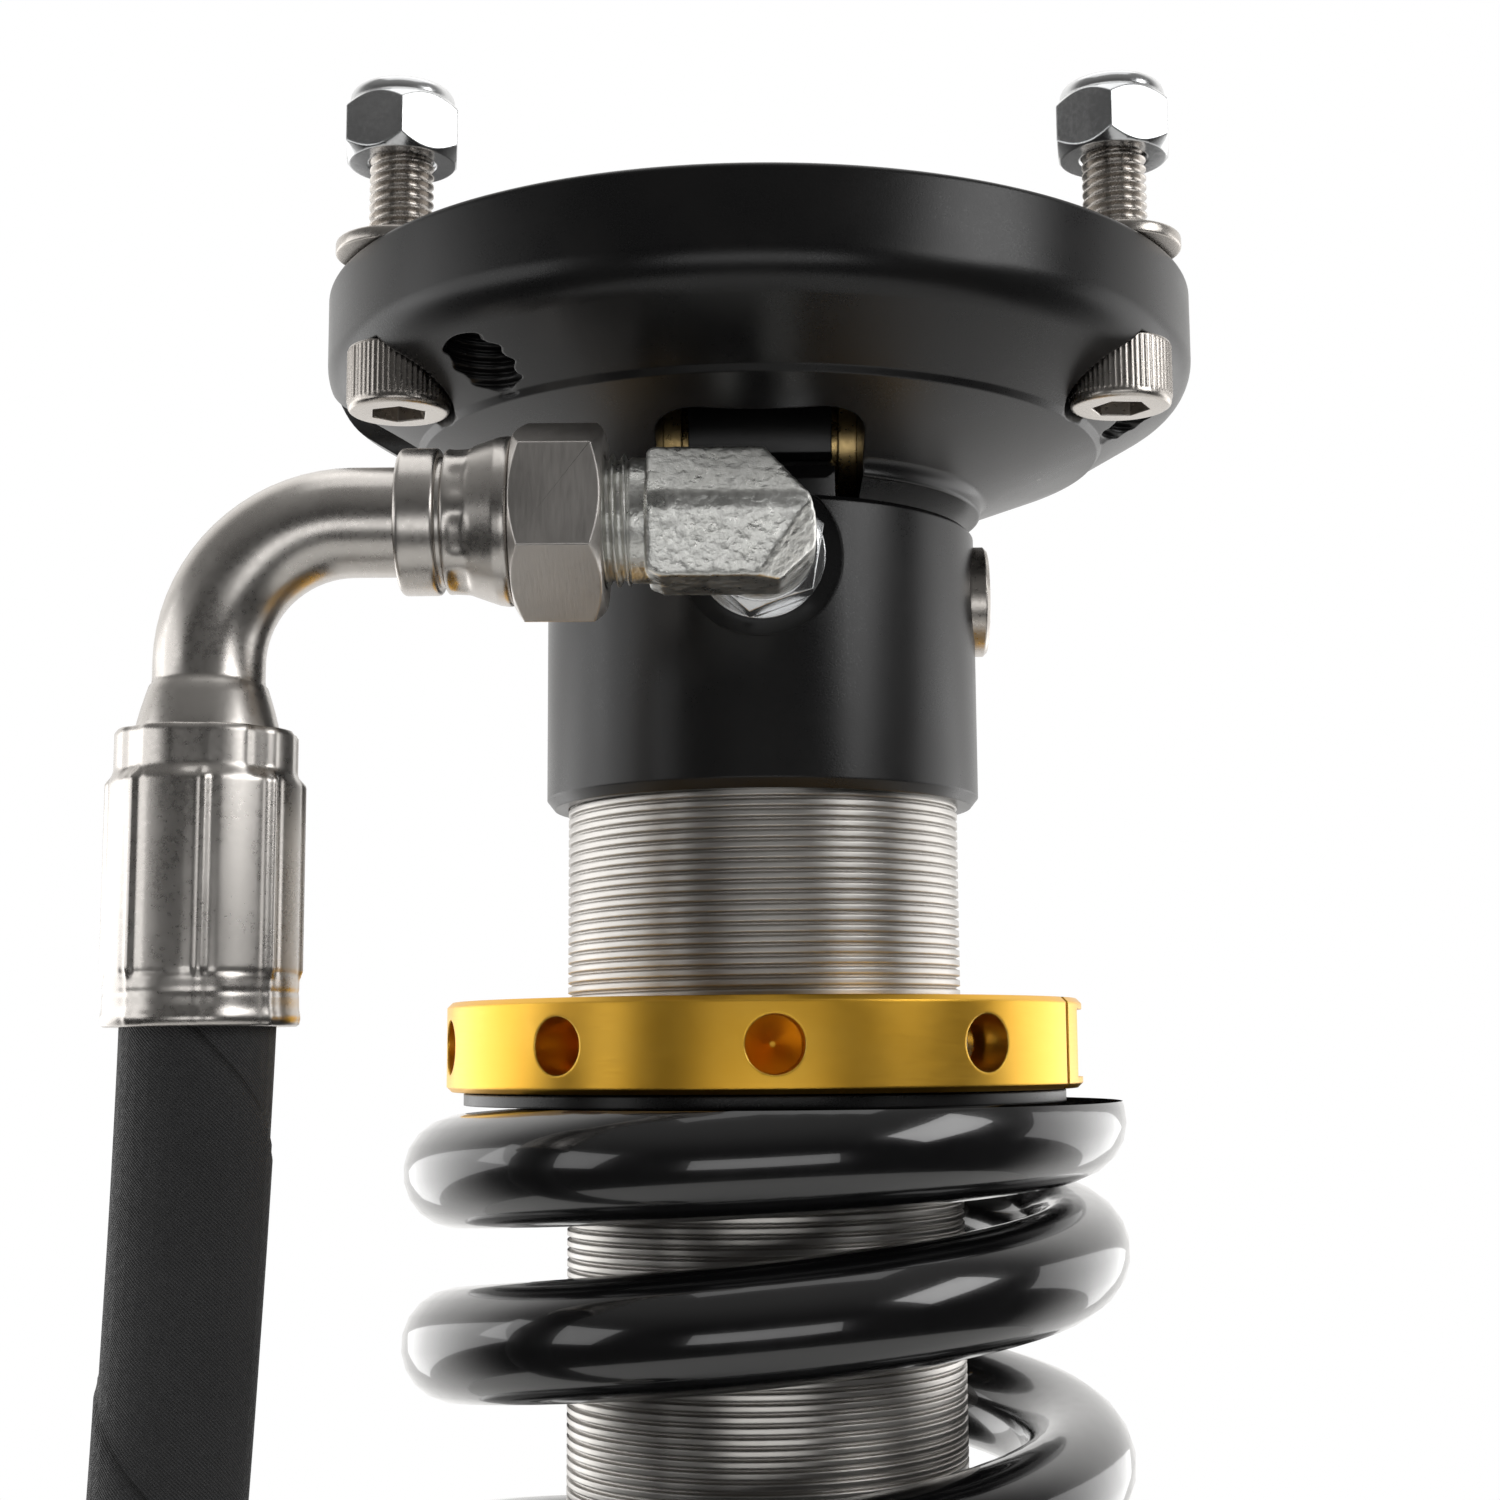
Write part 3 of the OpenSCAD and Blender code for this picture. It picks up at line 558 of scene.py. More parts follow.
# %% Spring coat
spring_black = hard_finish(
    "spring_black", (0.0045, 0.0045, 0.005), (0.0065, 0.0065, 0.007), 0.0, 0.2, relief=0.05, fine=320.0,
    coarse=35.0, specks=0.01, rough_spread=0.08, relief_depth=0.0002, Coat_Weight=1.0, Coat_Roughness=0.035,
    Specular_IOR_Level=0.5,
)

# %% [markdown]
# ## Hose
# The hose has a wrapped-fabric finish: a woven tape, wound on before curing, leaves fine slanting ribs and
# one flat spiral seam. The cord is a real curve of its real length, and its own texture coordinates carry
# the pattern: U runs along the hose and V runs round it.

# %% Hose cover
HOSE_DIAMETER = 0.0212
hose_route = [
    (-77.7, -58, -92), (-77.7, -58, -106), (-77.9, -58, -120), (-78.3, -58, -134), (-78.8, -58, -148),
    (-79.4, -58, -162), (-80.0, -58.1, -176), (-80.7, -58.3, -190), (-81.4, -58.5, -206),
    (-82.1, -58.8, -222), (-82.8, -59.1, -238), (-83.3, -59.4, -254), (-83.7, -59.7, -270),
    (-83.9, -59.9, -286), (-84, -60, -302), (-84, -60, -318),
]
hose_length = sum((Vector(b) - Vector(a)).length for a, b in zip(hose_route, hose_route[1:])) * MM
wrap = bpy.data.materials.new("hose_wrap")
wrap.use_nodes = True
tree = wrap.node_tree
shader = tree.nodes["Principled BSDF"]
along = node(tree, "SeparateXYZ")
put(tree, node(tree, "UVMap", uv_map="UVMap").outputs[0], along.inputs[0])
length_now = math_node(tree, "MULTIPLY", along.outputs["X"], hose_length / MM)
around_now = math_node(tree, "MULTIPLY", along.outputs["Y"], pi * HOSE_DIAMETER / MM)
# the ribs slant across the hose, and a finer cross thread dots them
RIB = 0.42
SLANT = 0.71
SEAM_PITCH = 73.0
SEAM_SHARE = 0.03
down = math_node(tree, "MULTIPLY", length_now, SLANT)
across = math_node(tree, "MULTIPLY", around_now, SLANT)
slant = math_node(tree, "ADD", down, across)
counter = math_node(tree, "SUBTRACT", down, across)
rib = math_node(tree, "SINE", math_node(tree, "MULTIPLY", slant, 2 * pi / RIB))
dots = math_node(tree, "SINE", math_node(tree, "MULTIPLY", counter, 2 * pi / (RIB * 0.7)))
strong_ribs = math_node(tree, "MULTIPLY", rib, 0.36)
faint_dots = math_node(tree, "MULTIPLY", dots, 0.14)
weave = math_node(tree, "ADD", strong_ribs, faint_dots)
weave = math_node(tree, "ADD", weave, 0.5)
lint = noise(tree, object_coords(tree), 900.0, 4.0)
wear_and_painted_highlight = noise(tree, object_coords(tree), 55.0, 4.0)
lit = node(tree, "Mix", data_type="RGBA")
patches = math_node(tree, "ADD", wear_and_painted_highlight, 0.35)
put(tree, math_node(tree, "MULTIPLY", weave, patches, clamp=True), lit.inputs["Factor"])
put(tree, (0.012, 0.012, 0.013, 1), lit.inputs["A"])
put(tree, (0.062, 0.062, 0.064, 1), lit.inputs["B"])
seam = math_node(tree, "ADD", math_node(tree, "DIVIDE", length_now, SEAM_PITCH), along.outputs["Y"])
seam = math_node(tree, "FRACT", seam)
shadow = ranged(tree, seam, 0.0, SEAM_SHARE, 0.0, 1.0)
edged = node(tree, "Mix", data_type="RGBA")
put(tree, shadow, edged.inputs["Factor"])
put(tree, (0.004, 0.004, 0.004, 1), edged.inputs["A"])
put(tree, lit.outputs["Result"], edged.inputs["B"])
put(tree, edged.outputs["Result"], shader.inputs["Base Color"])
put(tree, ranged(tree, lint, 0.3, 0.7, 0.62, 0.8), shader.inputs["Roughness"])
relief = node(tree, "Bump")
relief.inputs["Strength"].default_value = 0.9
relief.inputs["Distance"].default_value = 0.00022
put(tree, math_node(tree, "ADD", weave, math_node(tree, "MULTIPLY", lint, 0.35)), relief.inputs["Height"])
put(tree, relief.outputs[0], shader.inputs["Normal"])
shader.inputs["Sheen Weight"].default_value = 0.15
print("hose length, mm:", round(hose_length / MM, 1))

# %% Hose
spine = bpy.data.curves.new("Hose", "CURVE")
spine.dimensions = "3D"
spline = spine.splines.new("NURBS")
spline.points.add(len(hose_route) - 1)
for point, place_mm in zip(spline.points, hose_route):
    point.co = (*(Vector(place_mm) * MM), 1)
spline.use_endpoint_u = True
spline.order_u = 3
spline.resolution_u = 24
spine.bevel_depth = HOSE_DIAMETER / 2
spine.bevel_resolution = 14
spine.use_fill_caps = True
hose = bpy.data.objects.new("Hose", spine)
scene.collection.objects.link(hose)
only(hose)
bpy.ops.object.convert(target="MESH")
hose = bpy.context.object
uv = hose.data.uv_layers[0]
uv.name = "UVMap"
TAPE_STEP = 0.5
step_at = {}
for loop in hose.data.loops:
    along_share, around_share = uv.data[loop.index].uv
    step_at[loop.vertex_index] = (along_share * hose_length / MM / SEAM_PITCH + around_share) % 1
# the tape overlaps itself: a step up at the seam, which fades over one turn
for vertex in hose.data.vertices:
    share = step_at[vertex.index]
    lift = min(share / SEAM_SHARE, 1.0) * (1 - share)
    vertex.co += vertex.normal * (lift - 0.5) * TAPE_STEP * MM
smooth(hose, 60)
seat(hose, "hose", "damper", wrap)

# %% [markdown]
# ## Top hat
# The hat is one turned forging: a thick rim with a rounded lower edge, a cone, a small step, and a flare
# that runs into a short hub. Spinning its outline gives all of that at once. The slot for the eye, the
# counterbores of the bolts and the tapped spare holes are then cut with solids of their own shape, and the
# taps carry a real thread, because they break out through the cone where it can be seen.

# %% Hat body
HAT_R = 71.5
SLOT_HALF = 15.75
SLOT_REACH = 47.5
CUTTER_R = 7
BALL_HEIGHT = -22
hat_outline = rounded([
    (0, 0, 0), (HAT_R, 0, 0.9), (HAT_R, -15.7, 7.4), (56.6, -24.55, 0.5), (55.9, -25.6, 0.4),
    (41.5, -31.2, 9), (36.5, -33.2, 2.2), (36.5, -35.5, 0.6), (0, -35.5, 0),
], steps=8)
hat = spun("Top_hat", hat_outline, steps=192)
slot_outline = rounded([
    (0, -SLOT_REACH, 0), (SLOT_HALF, -SLOT_REACH, CUTTER_R), (SLOT_HALF, SLOT_REACH, CUTTER_R),
    (-SLOT_HALF, SLOT_REACH, CUTTER_R), (-SLOT_HALF, -SLOT_REACH, CUTTER_R), (-0.01, -SLOT_REACH, 0),
], steps=8)
combine(hat, bar("slot", slot_outline, -60, -12))
POCKET_R = 19.2
pocket_outline = [(-POCKET_R * sin(radians(a)), POCKET_R * cos(radians(a))) for a in range(0, 181, 4)]
pocket_outline += [(12, -POCKET_R), (12, POCKET_R)]
pocket = bar("pocket", pocket_outline, -SLOT_HALF + 0.01, SLOT_HALF - 0.01)
combine(hat, place(pocket, (0, 0, BALL_HEIGHT), "X"))
combine(hat, place(bar("bolt_bore", ring_of(9.75, 64), -85, -33), (0, 0, BALL_HEIGHT), "X"))
print("hat faces:", len(hat.data.polygons))

# %% Hat holes
TOWER_ANGLES = (90, 210, 330)
TOWER_R = 64.25
SPARE_R = 62


def on_circle(radius, angle, height):
    return (radius * cos(radians(angle)), radius * sin(radians(angle)), height)


for angle in TOWER_ANGLES:
    bore = spun("bore", [(0, -40), (8.6, -40), (8.6, -15), (5.4, -15), (5.4, 4), (0, 4)], steps=48)
    combine(hat, place(bore, on_circle(TOWER_R, angle, 0)))
    tap = threaded("tap", 6.0, 5.15, 1.75, -40, 3, steps=36)
    combine(hat, place(tap, on_circle(SPARE_R, angle + 18.5, 0)))
seat(soften(hat, 0.25, angle=40), "top_hat", "hat", black_anodised)

# %% [markdown]
# ## Cap screws
# A socket cap screw is a knurled head, a hexagon socket and a thread. The knurl is a star-shaped bar, so
# its ridges are real edges, united with a turned core that keeps the plain, rounded ends.


# %% Cap screw
def cap_screw(name, head_r, head_h, socket, thread_r, pitch, thread_low, thread_high, ridges=36):
    """Head from z = -head_h to 0 with the thread above it, as it hangs in its counterbore."""
    core = spun("core", rounded([
        (0, -head_h, 0), (head_r - 0.16, -head_h, 0.9), (head_r - 0.16, 0, 0.3), (thread_r, 0, 0),
        (thread_r, thread_low, 0), (0, thread_low, 0),
    ], steps=4), steps=96)
    star = []
    for k in range(ridges):
        star += ring_of(head_r, 1, 360 * k / ridges)
        star += ring_of(head_r - 0.3, 1, 360 * (k + 0.5) / ridges)
    head = combine(core, bar("knurl", star, -head_h + 1.5, -0.5), "UNION")
    floor_z = -head_h * 0.5
    hollow = bar("socket", hexagon(socket), -head_h - 1, floor_z)
    tip = spun("tip", [(0, floor_z - 0.01), (socket / 2, floor_z - 0.01), (0, floor_z + 1.2)], 24)
    combine(head, combine(hollow, tip, "UNION"))
    head.name = head.data.name = name
    soften(head, 0.12, segments=1, angle=45)
    if thread_high > thread_low:
        rod = threaded("rod", thread_r, thread_r - 0.61 * pitch, pitch, thread_low - 0.5, thread_high)
        head = joined(head, smooth(rod, 50))
    return head


def copies(master, places, turns=(0, 0, 0)):
    """Copies of one mesh at three places, each turned about its axis, joined into one piece."""
    made = []
    for at, turn in zip(places, turns):
        twin = master.copy()
        twin.data = master.data.copy()
        scene.collection.objects.link(twin)
        made.append(place(twin, at, turn=turn))
    bpy.data.objects.remove(master)
    return joined(*made)


# %% Tower bolts
bolt_places = [on_circle(TOWER_R, angle, -15) for angle in TOWER_ANGLES]
bolt = cap_screw("Tower_bolts", 8.0, 10, 8, 4.97, 1.5, 13, 40, ridges=60)
bolts = copies(bolt, bolt_places, turns=[12, 40, 4])
bolts.name = "Tower_bolts"
seat(bolts, "tower_bolts", "hat", stainless)

# %% [markdown]
# ## Lock nuts
# A plated lock nut has a hexagon with turned-off corners and a crimped dome over its nylon ring. The
# curved corner lines appear by themselves when a hexagonal bar is cut by a turned body with chamfers.


# %% Hexagon nut
def hex_nut(name, across, height, chamfer, bore, bore_chamfer=0.7, rim=0.3):
    corner = across / sqrt(3) + 0.1
    flat = across / 2 - rim
    mouth = bore + bore_chamfer
    turned = spun("turned", [
        (mouth, 0), (flat, 0), (corner, chamfer), (corner, height - chamfer), (flat, height),
        (mouth, height), (bore, height - bore_chamfer), (bore, bore_chamfer), (mouth, 0),
    ], steps=96)
    nut = combine(bar(name, hexagon(across), -1, height + 1), turned, "INTERSECT")
    edit(nut)
    bpy.ops.mesh.dissolve_limited(angle_limit=radians(1))
    object_mode()
    return soften(nut, 0.08, segments=1, angle=28)


nut = hex_nut("Tower_nuts", 17, 9.4, 2.0, 4.7)
dome = spun("dome", rounded([
    (4.7, 8.6, 0), (8.1, 8.6, 0), (8.2, 12, 2.0), (5.5, 12, 0), (5.5, 11.2, 0), (4.7, 11.2, 0),
    (4.7, 8.6, 0),
], steps=6), steps=64)
nut = joined(nut, smooth(dome, 50))
nut_places = [on_circle(TOWER_R, angle, 15) for angle in TOWER_ANGLES]
nuts = copies(nut, nut_places, turns=[12, 38, 20])
nuts.name = "Tower_nuts"
seat(nuts, "tower_nuts", "hat", zinc_plate)

# %% Washers
washer = spun("Tower_washers", rounded([
    (5.25, 0, 0), (10, 0, 0.25), (10, 2, 0.5), (5.25, 2, 0.2), (5.25, 0, 0),
], steps=3), steps=64)
washers = copies(smooth(washer), [on_circle(TOWER_R, angle, 0) for angle in TOWER_ANGLES])
washers.name = "Tower_washers"
seat(washers, "tower_washers", "hat", stainless)

# %% Cross bolt and pinch screw
cross = cap_screw("Cross_bolt", 9.0, 12, 10, 5.98, 1.75, 65.5, 65.5)
seat(place(cross, (-33, 0, BALL_HEIGHT), "X"), "cross_bolt", "hat", black_oxide)
COLLAR_MIDDLE = -121.7
pinch = cap_screw("Pinch_screw", 5.0, 6, 5, 2.95, 1.0, 18.4, 18.4, ridges=28)
place(pinch, axis="-Y")
pinch.data.transform(
    Matrix.Translation((0, 0, COLLAR_MIDDLE * MM))
    @ Matrix.Rotation(radians(-24.5), 4, "Z")
    @ Matrix.Translation((43 * MM, 6.5 * MM, 0))
)
seat(pinch, "pinch_screw", "collar", black_oxide)

# %% [markdown]
# ## Threaded body
# The body tube is threaded along its whole length, sixteen turns to the inch, so that the collar can go
# anywhere. The crests are broad and flat, and the light breaks into fine bands there. The bore is cut out
# afterwards.


# %% Body tube
def broad_thread(name, crest, root, pitch, low, high, steps):
    """As `threaded`, with broad flat crests and narrow grooves."""
    tooth = [(root, 0.07), (crest, 0.22), (crest, 0.78), (root, 0.93), (root, 1.07)]
    return swept_thread(name, tooth, pitch, low, high, steps)


BODY_R = 31.75
PITCH_16 = 25.4 / 16
body = broad_thread("Body_tube", BODY_R, BODY_R - 0.62, PITCH_16, -316, -62, steps=88)
combine(body, bar("bore", ring_of(28.6, 96), -330, -55))
seat(smooth(body, 30), "body_tube", "damper", body_steel)

# %% [markdown]
# ## Forged elbow
# The port elbow starts as a hot-forged block, so its faces are slightly uneven and its edges are soft,
# while its thread is cut clean. Two crossing bars give the facets. A bevel, a fine remesh and a gentle
# displacement then turn the sharp block into a forging.

# %% Elbow
PORT_Y = -58
PORT_Z = -48
PORT = (0, PORT_Y, PORT_Z)
side_view = [
    (-16, 8.9), (-15.2, 9.5), (0.5, 9.5), (6.9, 1.5), (7.8, -1.5), (7.7, -4.6), (2.5, -9.5), (-14, -9.5),
    (-16, -8.5),
]
end_view = [
    (-9.9, 1.9), (-9.9, -0.5), (-7.2, -9.5), (7.2, -9.5), (9.8, -0.5), (9.8, 1.9), (5.2, 9.5), (-5.2, 9.5),
]
elbow = place(bar("Port_elbow", side_view, -14, 14), axis="-Y")
across = place(bar("across", [(-z, y) for y, z in end_view], -30, 30), axis="X")
combine(elbow, across, "INTERSECT")
modify(elbow, "BEVEL", width=0.9 * MM, segments=3, limit_method="ANGLE", angle_limit=radians(20))
# one more facet, through three points of the block's lower corner
corner = Vector((7.0, -9.6, 0.4))
facing = (Vector((1.3, -7.2, -9.5)) - corner).cross(Vector((7.7, -4.2, -4.6)) - corner)
outside = {"clear_outer": facing.x > 0, "clear_inner": facing.x < 0}
edit(elbow)
bpy.ops.mesh.bisect(plane_co=corner * MM, plane_no=facing, use_fill=True, **outside)
object_mode()
modify(elbow, "REMESH", mode="VOXEL", voxel_size=0.36 * MM)
modify(elbow, "SMOOTH", factor=0.5, iterations=3)
forging = bpy.data.textures.new("forging", "CLOUDS")
forging.noise_scale = 1.3 * MM
modify(elbow, "DISPLACE", texture=forging, texture_coords="LOCAL", strength=0.22 * MM, mid_level=0.5)
smooth(elbow, 80)
place(elbow, PORT)
neck = spun("neck", rounded([
    (0, 7, 0), (8.2, 7, 0), (8.2, 16.3, 0.5), (7.05, 17, 0.3), (7.05, 38.5, 0), (0, 38.5, 0),
], steps=3), steps=64)
place(neck, PORT, "Y")
relief_neck = spun("relief", rounded([
    (4.9, 14, 0), (8.9, 14, 0), (8.9, 18.3, 0.4), (8.3, 18.6, 0), (8.3, 27, 0), (6.2, 31, 0.4),
    (4.9, 31, 0), (4.9, 14, 0),
], steps=3), steps=64)
place(relief_neck, PORT, "-X")
male = place(threaded("male", 9.45, 8.55, PITCH_16, 18.5, 27.2), PORT, "-X")
elbow = joined(elbow, smooth(neck), smooth(relief_neck), smooth(male, 40))
seat(elbow, "port_elbow", "damper", forged_zinc)

# %% Port nut
port_nut = hex_nut("Port_nut", 17.5, 6.8, 1.3, 7.12, bore_chamfer=0.2)
seat(place(port_nut, (0, -34.8, PORT_Z), "-Y", 20), "port_nut", "damper", zinc_plate)

# %% [markdown]
# ## Swivel nuts
# Both ends of the hose are held by a swivel nut, ground on its six faces. The same nut serves the upper
# fitting and the one on the reservoir.

# %% Swivel nuts
RESERVOIR_X = -84
RESERVOIR_Y = -60
for name, node_name, at, axis, turn in (
    ("Swivel_nut", "swivel_nut", (-21.9, PORT_Y, PORT_Z), "-X", 5),
    ("Reservoir_nut", "reservoir_nut", (RESERVOIR_X, RESERVOIR_Y, -370.8), "Z", 17),
):
    swivel = hex_nut(name, 25.6, 12.8, 1.5, 9.5, bore_chamfer=0.4)
    seat(place(swivel, at, axis, turn), node_name, "damper", ground_hex)

# %% [markdown]
# ## Crimped hose stems
# Behind the nut the stem is crimped: oval dimples are pressed into its neck. They are pressed here too, by
# pulling the vertices of a finely spun neck inwards where a dimple lies.


# %% Stem nose
DIMPLES = 8


def crimped_neck():
    outline = rounded([
        (6, 3.5, 0), (8.95, 3.5, 0.3), (8.95, 0, 0), (12.2, 0, 0.8), (11.9, -2.2, 2), (10.5, -6.2, 2.4),
        (10.3, -9.5, 0.5), (9.3, -9.7, 0), (9.3, -10.4, 0), (10.45, -10.45, 0.6), (10.45, -16.1, 0.8),
        (7.4, -16.1, 0), (6, -16.1, 0), (6, 3.5, 0),
    ], steps=4)
    dense = []
    for here, there in zip(outline, outline[1:]):
        parts = 1
        if here[0] > 8.5 and there[0] > 8.5:
            parts = max(1, ceil((Vector(there) - Vector(here)).length / 0.45))
        dense += [tuple(Vector(here).lerp(Vector(there), k / parts)) for k in range(parts)]
    neck = spun("neck", dense + [tuple(outline[-1])], steps=192)
    for vertex in neck.data.vertices:
        x, y, z = (v / MM for v in vertex.co)
        if not -9.4 < z < -4.6 or x * x + y * y < 90:
            continue
        across = ((atan2(y, x) / (2 * pi) * DIMPLES) % 1 - 0.5) * 2 * pi * 10.4 / DIMPLES
        depth = exp(-(((across / 2.5) ** 4) + ((z + 7.3) / 1.3) ** 4))
        vertex.co.xy *= 1 - 0.045 * depth
    neck.data.update()
    return smooth(neck, 50)


# %% Upper stem
TUBE_R = 7.8
INSERT_R = 7.2
BEND_X = -57.7
BEND_R = 20
LEG_X = BEND_X - BEND_R
bend = [
    (BEND_X - BEND_R * sin(radians(a)), PORT_Y, PORT_Z - BEND_R * (1 - cos(radians(a))))
    for a in range(0, 91, 5)
]
tube_line = [(*p, TUBE_R) for p in ((-50.2, PORT_Y, PORT_Z), (-54, PORT_Y, PORT_Z), *bend)]
tube_line += [(LEG_X, PORT_Y, z, r) for z, r in (
    (-70.6, TUBE_R), (-71.2, 7.9), (-71.6, 8.25), (-73, 8.7), (-75, 9.3), (-77, 9.8), (-78.3, 10.1),
    (-79.3, 10.2), (-80, INSERT_R), (-113, INSERT_R),
)]


def piped(name, line, sides=12):
    """A pipe along a line of (x, y, z, radius) points in mm."""
    path = bpy.data.curves.new(name, "CURVE")
    path.dimensions = "3D"
    points = path.splines.new("POLY").points
    points.add(len(line) - 1)
    for point, (x, y, z, radius) in zip(points, line):
        point.co = (x * MM, y * MM, z * MM, 1)
        point.radius = radius
    path.bevel_depth = MM
    path.bevel_resolution = sides
    path.use_fill_caps = True
    obj = bpy.data.objects.new(name, path)
    scene.collection.objects.link(obj)
    only(obj)
    bpy.ops.object.convert(target="MESH")
    return smooth(bpy.context.object, 60)


upper_stem = joined(piped("Hose_elbow", tube_line), place(crimped_neck(), (-34.75, PORT_Y, PORT_Z), "X"))
upper_stem.name = "Hose_elbow"
seat(upper_stem, "hose_elbow", "damper", brushed_tube)

# %% Lower stem
lower_line = [(RESERVOIR_X, RESERVOIR_Y, z, r) for z, r in (
    (-297, INSERT_R), (-330, INSERT_R), (-330.8, 10.1), (-332, 10.1), (-334, 9.4), (-336.5, 8.7),
    (-338.4, 8.2), (-339, 7.85), (-339.6, TUBE_R), (-344, TUBE_R),
)]
lower_neck = place(crimped_neck(), (RESERVOIR_X, RESERVOIR_Y, -357.95), "-Z")
lower_stem = joined(piped("Hose_stem", lower_line), lower_neck)
lower_stem.name = "Hose_stem"
seat(lower_stem, "hose_stem", "damper", brushed_tube)

# %% [markdown]
# ## Crimped ferrules
# The ferrule is squeezed by eight dies. Each leaves a slightly flat pillow, and the metal that escapes
# between them stands up as a thin ridge. So the ferrule is a finely spun sleeve whose radius is a formula
# of angle and height.


# %% Ferrule
def eased(value, low, high):
    share = min(max((value - low) / (high - low), 0), 1)
    return share * share * (3 - 2 * share)


def ferrule_radius(angle, z, length):
    """Radius in mm at an angle in degrees and a depth z below the neck (0 to -length)."""
    away = abs((angle + 11) % 45 - 22.5)
    flat = 13.05 / cos(radians(22.5 - away) * 0.72)
    ridge = 0.30 * exp(-((away / 2.0) ** 2)) - 0.22 * exp(-(((away - 5) / 2.6) ** 2))
    pillow = min(flat, 13.45) + ridge
    mouth = 13.2 - 0.12 * (cos(radians(angle * 8)) + 1)
    neck_away = abs((angle - 4) % 45 - 22.5)
    neck = 12.62 - 0.5 * exp(-(((neck_away - 22.5) / 9) ** 4))
    radius = neck + (pillow - neck) * eased(-z, 5.4, 7.6)
    radius += (mouth - radius) * 0.7 * eased(-z, length - 7.5, length - 6.2)
    for groove in (length - 7.2, length - 4.6):
        radius -= 0.10 * exp(-(((-z - groove) / 0.28) ** 2))
    return radius + 0.22 * exp(-(((-z - length + 1.2) / 0.9) ** 2))


def crimped_ferrule(name, length):
    levels = [0, -0.5] + [-1 - 0.3 * k for k in range(int((length - 1.6) / 0.3))] + [-length + 0.3, -length]
    outline = [(10.4, -0.3), (10.8, 0)] + [(12, z) for z in levels]
    outline += [(10.85, -length), (10.75, -length + 0.8), (10.75, -7), (10.4, -7), (10.4, -0.3)]
    sleeve = spun(name, outline, steps=192)
    for vertex in sleeve.data.vertices:
        x, y, z = (v / MM for v in vertex.co)
        radius = sqrt(x * x + y * y)
        if radius < 11.9:
            continue
        wanted = ferrule_radius(atan2(y, x) * 180 / pi, z, length)
        if z > -0.3 or z < -length + 0.2:
            wanted -= 0.35
        vertex.co.xy *= wanted / radius
    sleeve.data.update()
    return smooth(sleeve, 55)


upper_ferrule = place(crimped_ferrule("Upper_ferrule", 40.8), (LEG_X, PORT_Y, -78))
seat(upper_ferrule, "upper_ferrule", "damper", brushed_tube)
lower_ferrule = place(crimped_ferrule("Lower_ferrule", 40), (RESERVOIR_X, RESERVOIR_Y, -332), "-Z")
seat(lower_ferrule, "lower_ferrule", "damper", brushed_tube)

# %% [markdown]
# ## Coil spring
# The wire keeps one thickness while its pitch grows over the first turns, and both ends are ground flat.
# A round pipe along the helix gives the wire, and two slices give the ground ends. Each vertex is then
# matched to its place along the wire, counted in turns.

# %% Spring wire
WIRE_R = 8.7
COIL_R = 49
SPRING_TOP = -130.8
SPRING_LENGTH = 350
PITCH = 34
END_TURNS = 1.5
END_DROP = 35
growth = (PITCH * END_TURNS - END_DROP) / END_TURNS**2
GROUND_OFF = 2.7
CENTRE_TOP = SPRING_TOP - GROUND_OFF
centre_span = SPRING_LENGTH - 2 * GROUND_OFF
TURNS = 2 * END_TURNS + (centre_span - 2 * END_DROP) / PITCH


def drop(t):
    """Height lost by the wire's centre after t turns."""
    if t > TURNS - END_TURNS:
        return centre_span - drop(TURNS - t)
    if t < END_TURNS:
        return (PITCH - 2 * growth * END_TURNS) * t + growth * t * t
    return END_DROP + (t - END_TURNS) * PITCH


def wire_point(t):
    angle = -2 * pi * t
    return (COIL_R * cos(angle), COIL_R * sin(angle), CENTRE_TOP - drop(t))


STEPS_PER_TURN = 60
TAIL = 0.15
count = int((TURNS + 2 * TAIL) * STEPS_PER_TURN)
spots = [-TAIL + (TURNS + 2 * TAIL) * k / count for k in range(count + 1)]
spring = piped("Coil_spring", [(*wire_point(t), WIRE_R) for t in spots], sides=8)
level_cut(spring, SPRING_TOP - SPRING_LENGTH, SPRING_TOP - 0.05)
soften(spring, 0.35, angle=50)
print("spring turns:", round(TURNS, 2))

# %% Spring finish and places along the wire
spring.data.materials.clear()
spring.data.materials.append(spring_black)
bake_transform(spring)
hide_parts("coil_spring")
for vertex in spring.data.vertices:
    x, y, z = (v / MM for v in vertex.co)
    part = (-atan2(y, x) / (2 * pi)) % 1
    t = min((part + k for k in range(-1, 13)), key=lambda t: abs(CENTRE_TOP - drop(t) - z))

# %% [markdown]
# ## Bump stop
# The bump stop is a soft urethane foam, moulded with a waist so that it folds in a known place.

# %% Bump stop
stop = spun("Bump_stop", rounded([
    (11.15, -474, 0), (20, -474, 1.2), (20, -463.8, 2.6), (16.4, -461, 1.6), (19, -458, 2.2),
    (19, -452, 3.5), (15.4, -446, 1.4), (11.15, -446, 0), (11.15, -474, 0),
], steps=6), steps=96)
seat(smooth(stop, 60), "bump_stop", "rod", yellow_urethane)

# %% [markdown]
# ## Frame parts that keep their shape
# The remaining nodes are plain turned and milled pieces, so each only needs its finish.

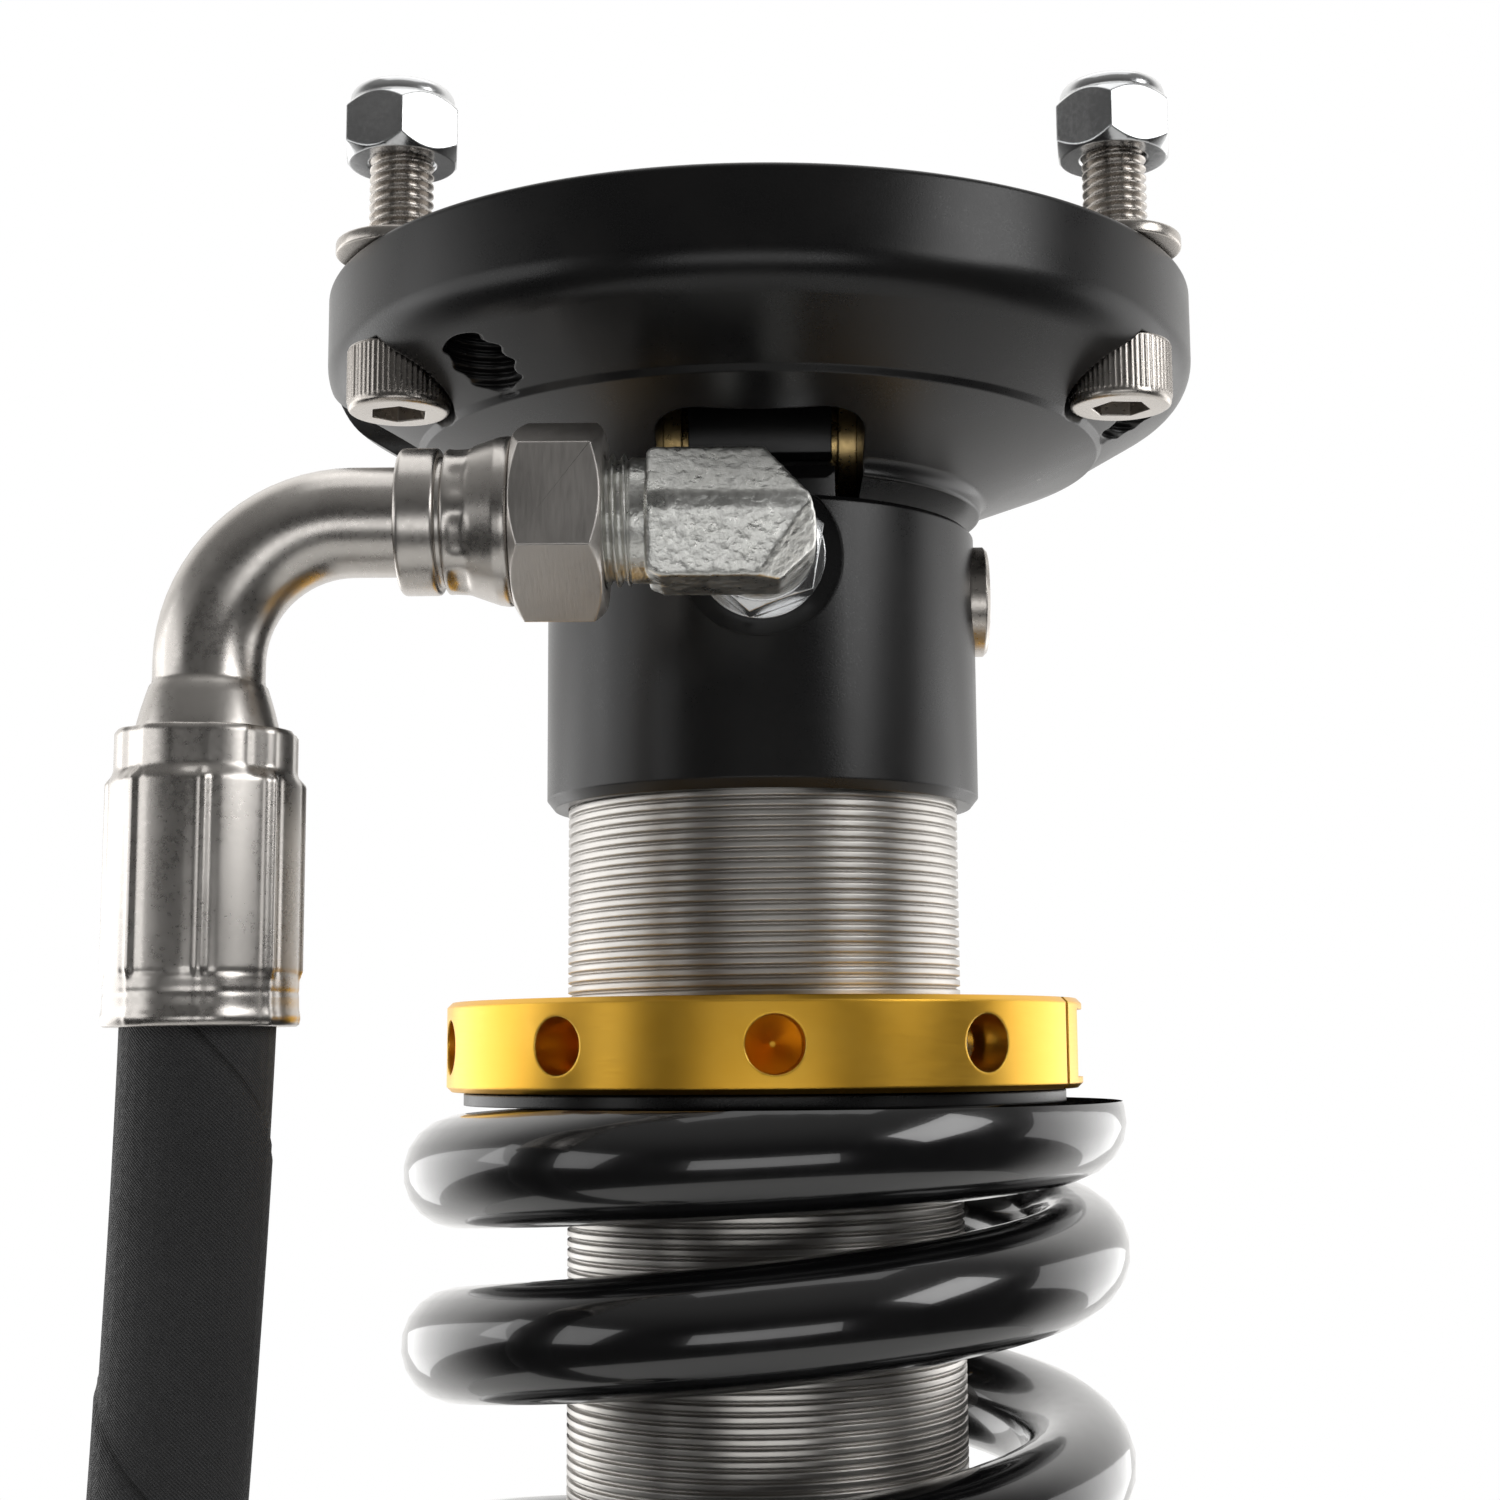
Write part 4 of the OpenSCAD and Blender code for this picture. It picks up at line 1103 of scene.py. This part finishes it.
# %% Give every other node its finish
finish_of_node = {
    black_anodised: ("body_cap", "seat_ring", "lower_perch", "lower_mount", "reservoir_top_cap",
                     "reservoir_end_cap", "reservoir_tube", "seal_head"),
    gold_anodised: ("adjuster_collar", "floating_piston"),
    stainless: ("side_plug", "set_screw", "shims"),
    yellow_zinc: ("upper_spacers", "lower_spacers"),
    zinc_plate: ("port_washer", "reservoir_adapter"),
    bearing_steel: ("upper_ball", "lower_ball", "piston", "piston_nut"),
    hard_chrome: ("shaft",),
    black_oxide: ("upper_snap_rings", "lower_snap_rings", "reservoir_snap_rings", "head_snap_ring"),
    brass: ("charge_valve",),
    bronze_liner: ("upper_race", "lower_race", "piston_ring"),
    black_rubber: ("valve_cap", "rod_seal", "wiper", "floating_seal", "topout_bumper"),
}
for material, names in finish_of_node.items():
    for name in names:
        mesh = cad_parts[name].data
        mesh.materials.clear()
        mesh.materials.append(material)
unfinished = [
    name for name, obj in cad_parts.items()
    if not obj.hide_render and not any(name in names for names in finish_of_node.values())
]
print("nodes without a finish:", unfinished)

# %% [markdown]
# ## Studio
# Polished black parts show the room more than themselves. The room here is a white sweep behind and above
# the object, darker towards the camera, with a few soft boxes that draw the long highlights. The camera
# sees plain white wherever it looks past the object.

# %% World
world = bpy.data.worlds.new("Studio")
scene.world = world
world.use_nodes = True
tree = world.node_tree
tree.nodes.clear()
output = tree.nodes.new("ShaderNodeOutputWorld")
direction = node(tree, "SeparateXYZ")
put(tree, node(tree, "TexCoord").outputs["Generated"], direction.inputs[0])
behind = ranged(tree, direction.outputs["Y"], -0.05, 0.6, 0.035, 1.0)
above = ranged(tree, direction.outputs["Z"], 0.1, 0.9, 0.0, 0.22)
room = node(tree, "Background")
put(tree, (1, 0.99, 0.975, 1), room.inputs["Color"])
put(tree, math_node(tree, "ADD", behind, above), room.inputs["Strength"])
white = node(tree, "Background")
put(tree, (1, 1, 1, 1), white.inputs["Color"])
put(tree, 1.0, white.inputs["Strength"])
seen = node(tree, "MixShader")
put(tree, node(tree, "LightPath").outputs["Is Camera Ray"], seen.inputs[0])
tree.links.new(room.outputs[0], seen.inputs[1])
tree.links.new(white.outputs[0], seen.inputs[2])
tree.links.new(seen.outputs[0], output.inputs[0])


# %% Soft boxes
def soft_box(name, at, aim, width, height, power):
    bpy.ops.object.light_add(type="AREA", location=at)
    light = bpy.context.object
    light.name = name
    light.data.shape = "RECTANGLE"
    light.data.size = width
    light.data.size_y = height
    light.data.energy = power
    light.rotation_euler = (Vector(aim) - Vector(at)).to_track_quat("-Z", "Z").to_euler()


soft_box("Key", (0.80, -0.55, 0.28), (0, 0, -0.12), 0.35, 0.60, 2.6)
soft_box("Fill", (-0.92, -0.30, 0.05), (0, 0, -0.12), 0.40, 0.9, 1.6)
soft_box("Front", (0.0, -1.1, -0.34), (0, 0, -0.10), 0.9, 0.32, 1.5)
soft_box("Top", (0.0, 0.0, 0.75), (0, 0, 0), 0.7, 0.7, 1.4)
soft_box("Left_edge", (-0.9, 0.45, -0.15), (0, 0, -0.15), 0.5, 1.2, 2.4)
soft_box("Right_edge", (0.9, 0.45, -0.15), (0, 0, -0.15), 0.5, 1.2, 2.4)

# %% Floor
FLOOR_GAP = 0.002
bpy.ops.mesh.primitive_circle_add(vertices=96, radius=0.5, fill_type="NGON")
floor = bpy.context.object
floor.location.z = cad_low.z - FLOOR_GAP
floor.name = "Floor"
paper = bpy.data.materials.new("paper")
paper.use_nodes = True
paper.node_tree.nodes["Principled BSDF"].inputs["Base Color"].default_value = (0.86, 0.86, 0.85, 1)
paper.node_tree.nodes["Principled BSDF"].inputs["Roughness"].default_value = 0.8
floor.data.materials.append(paper)
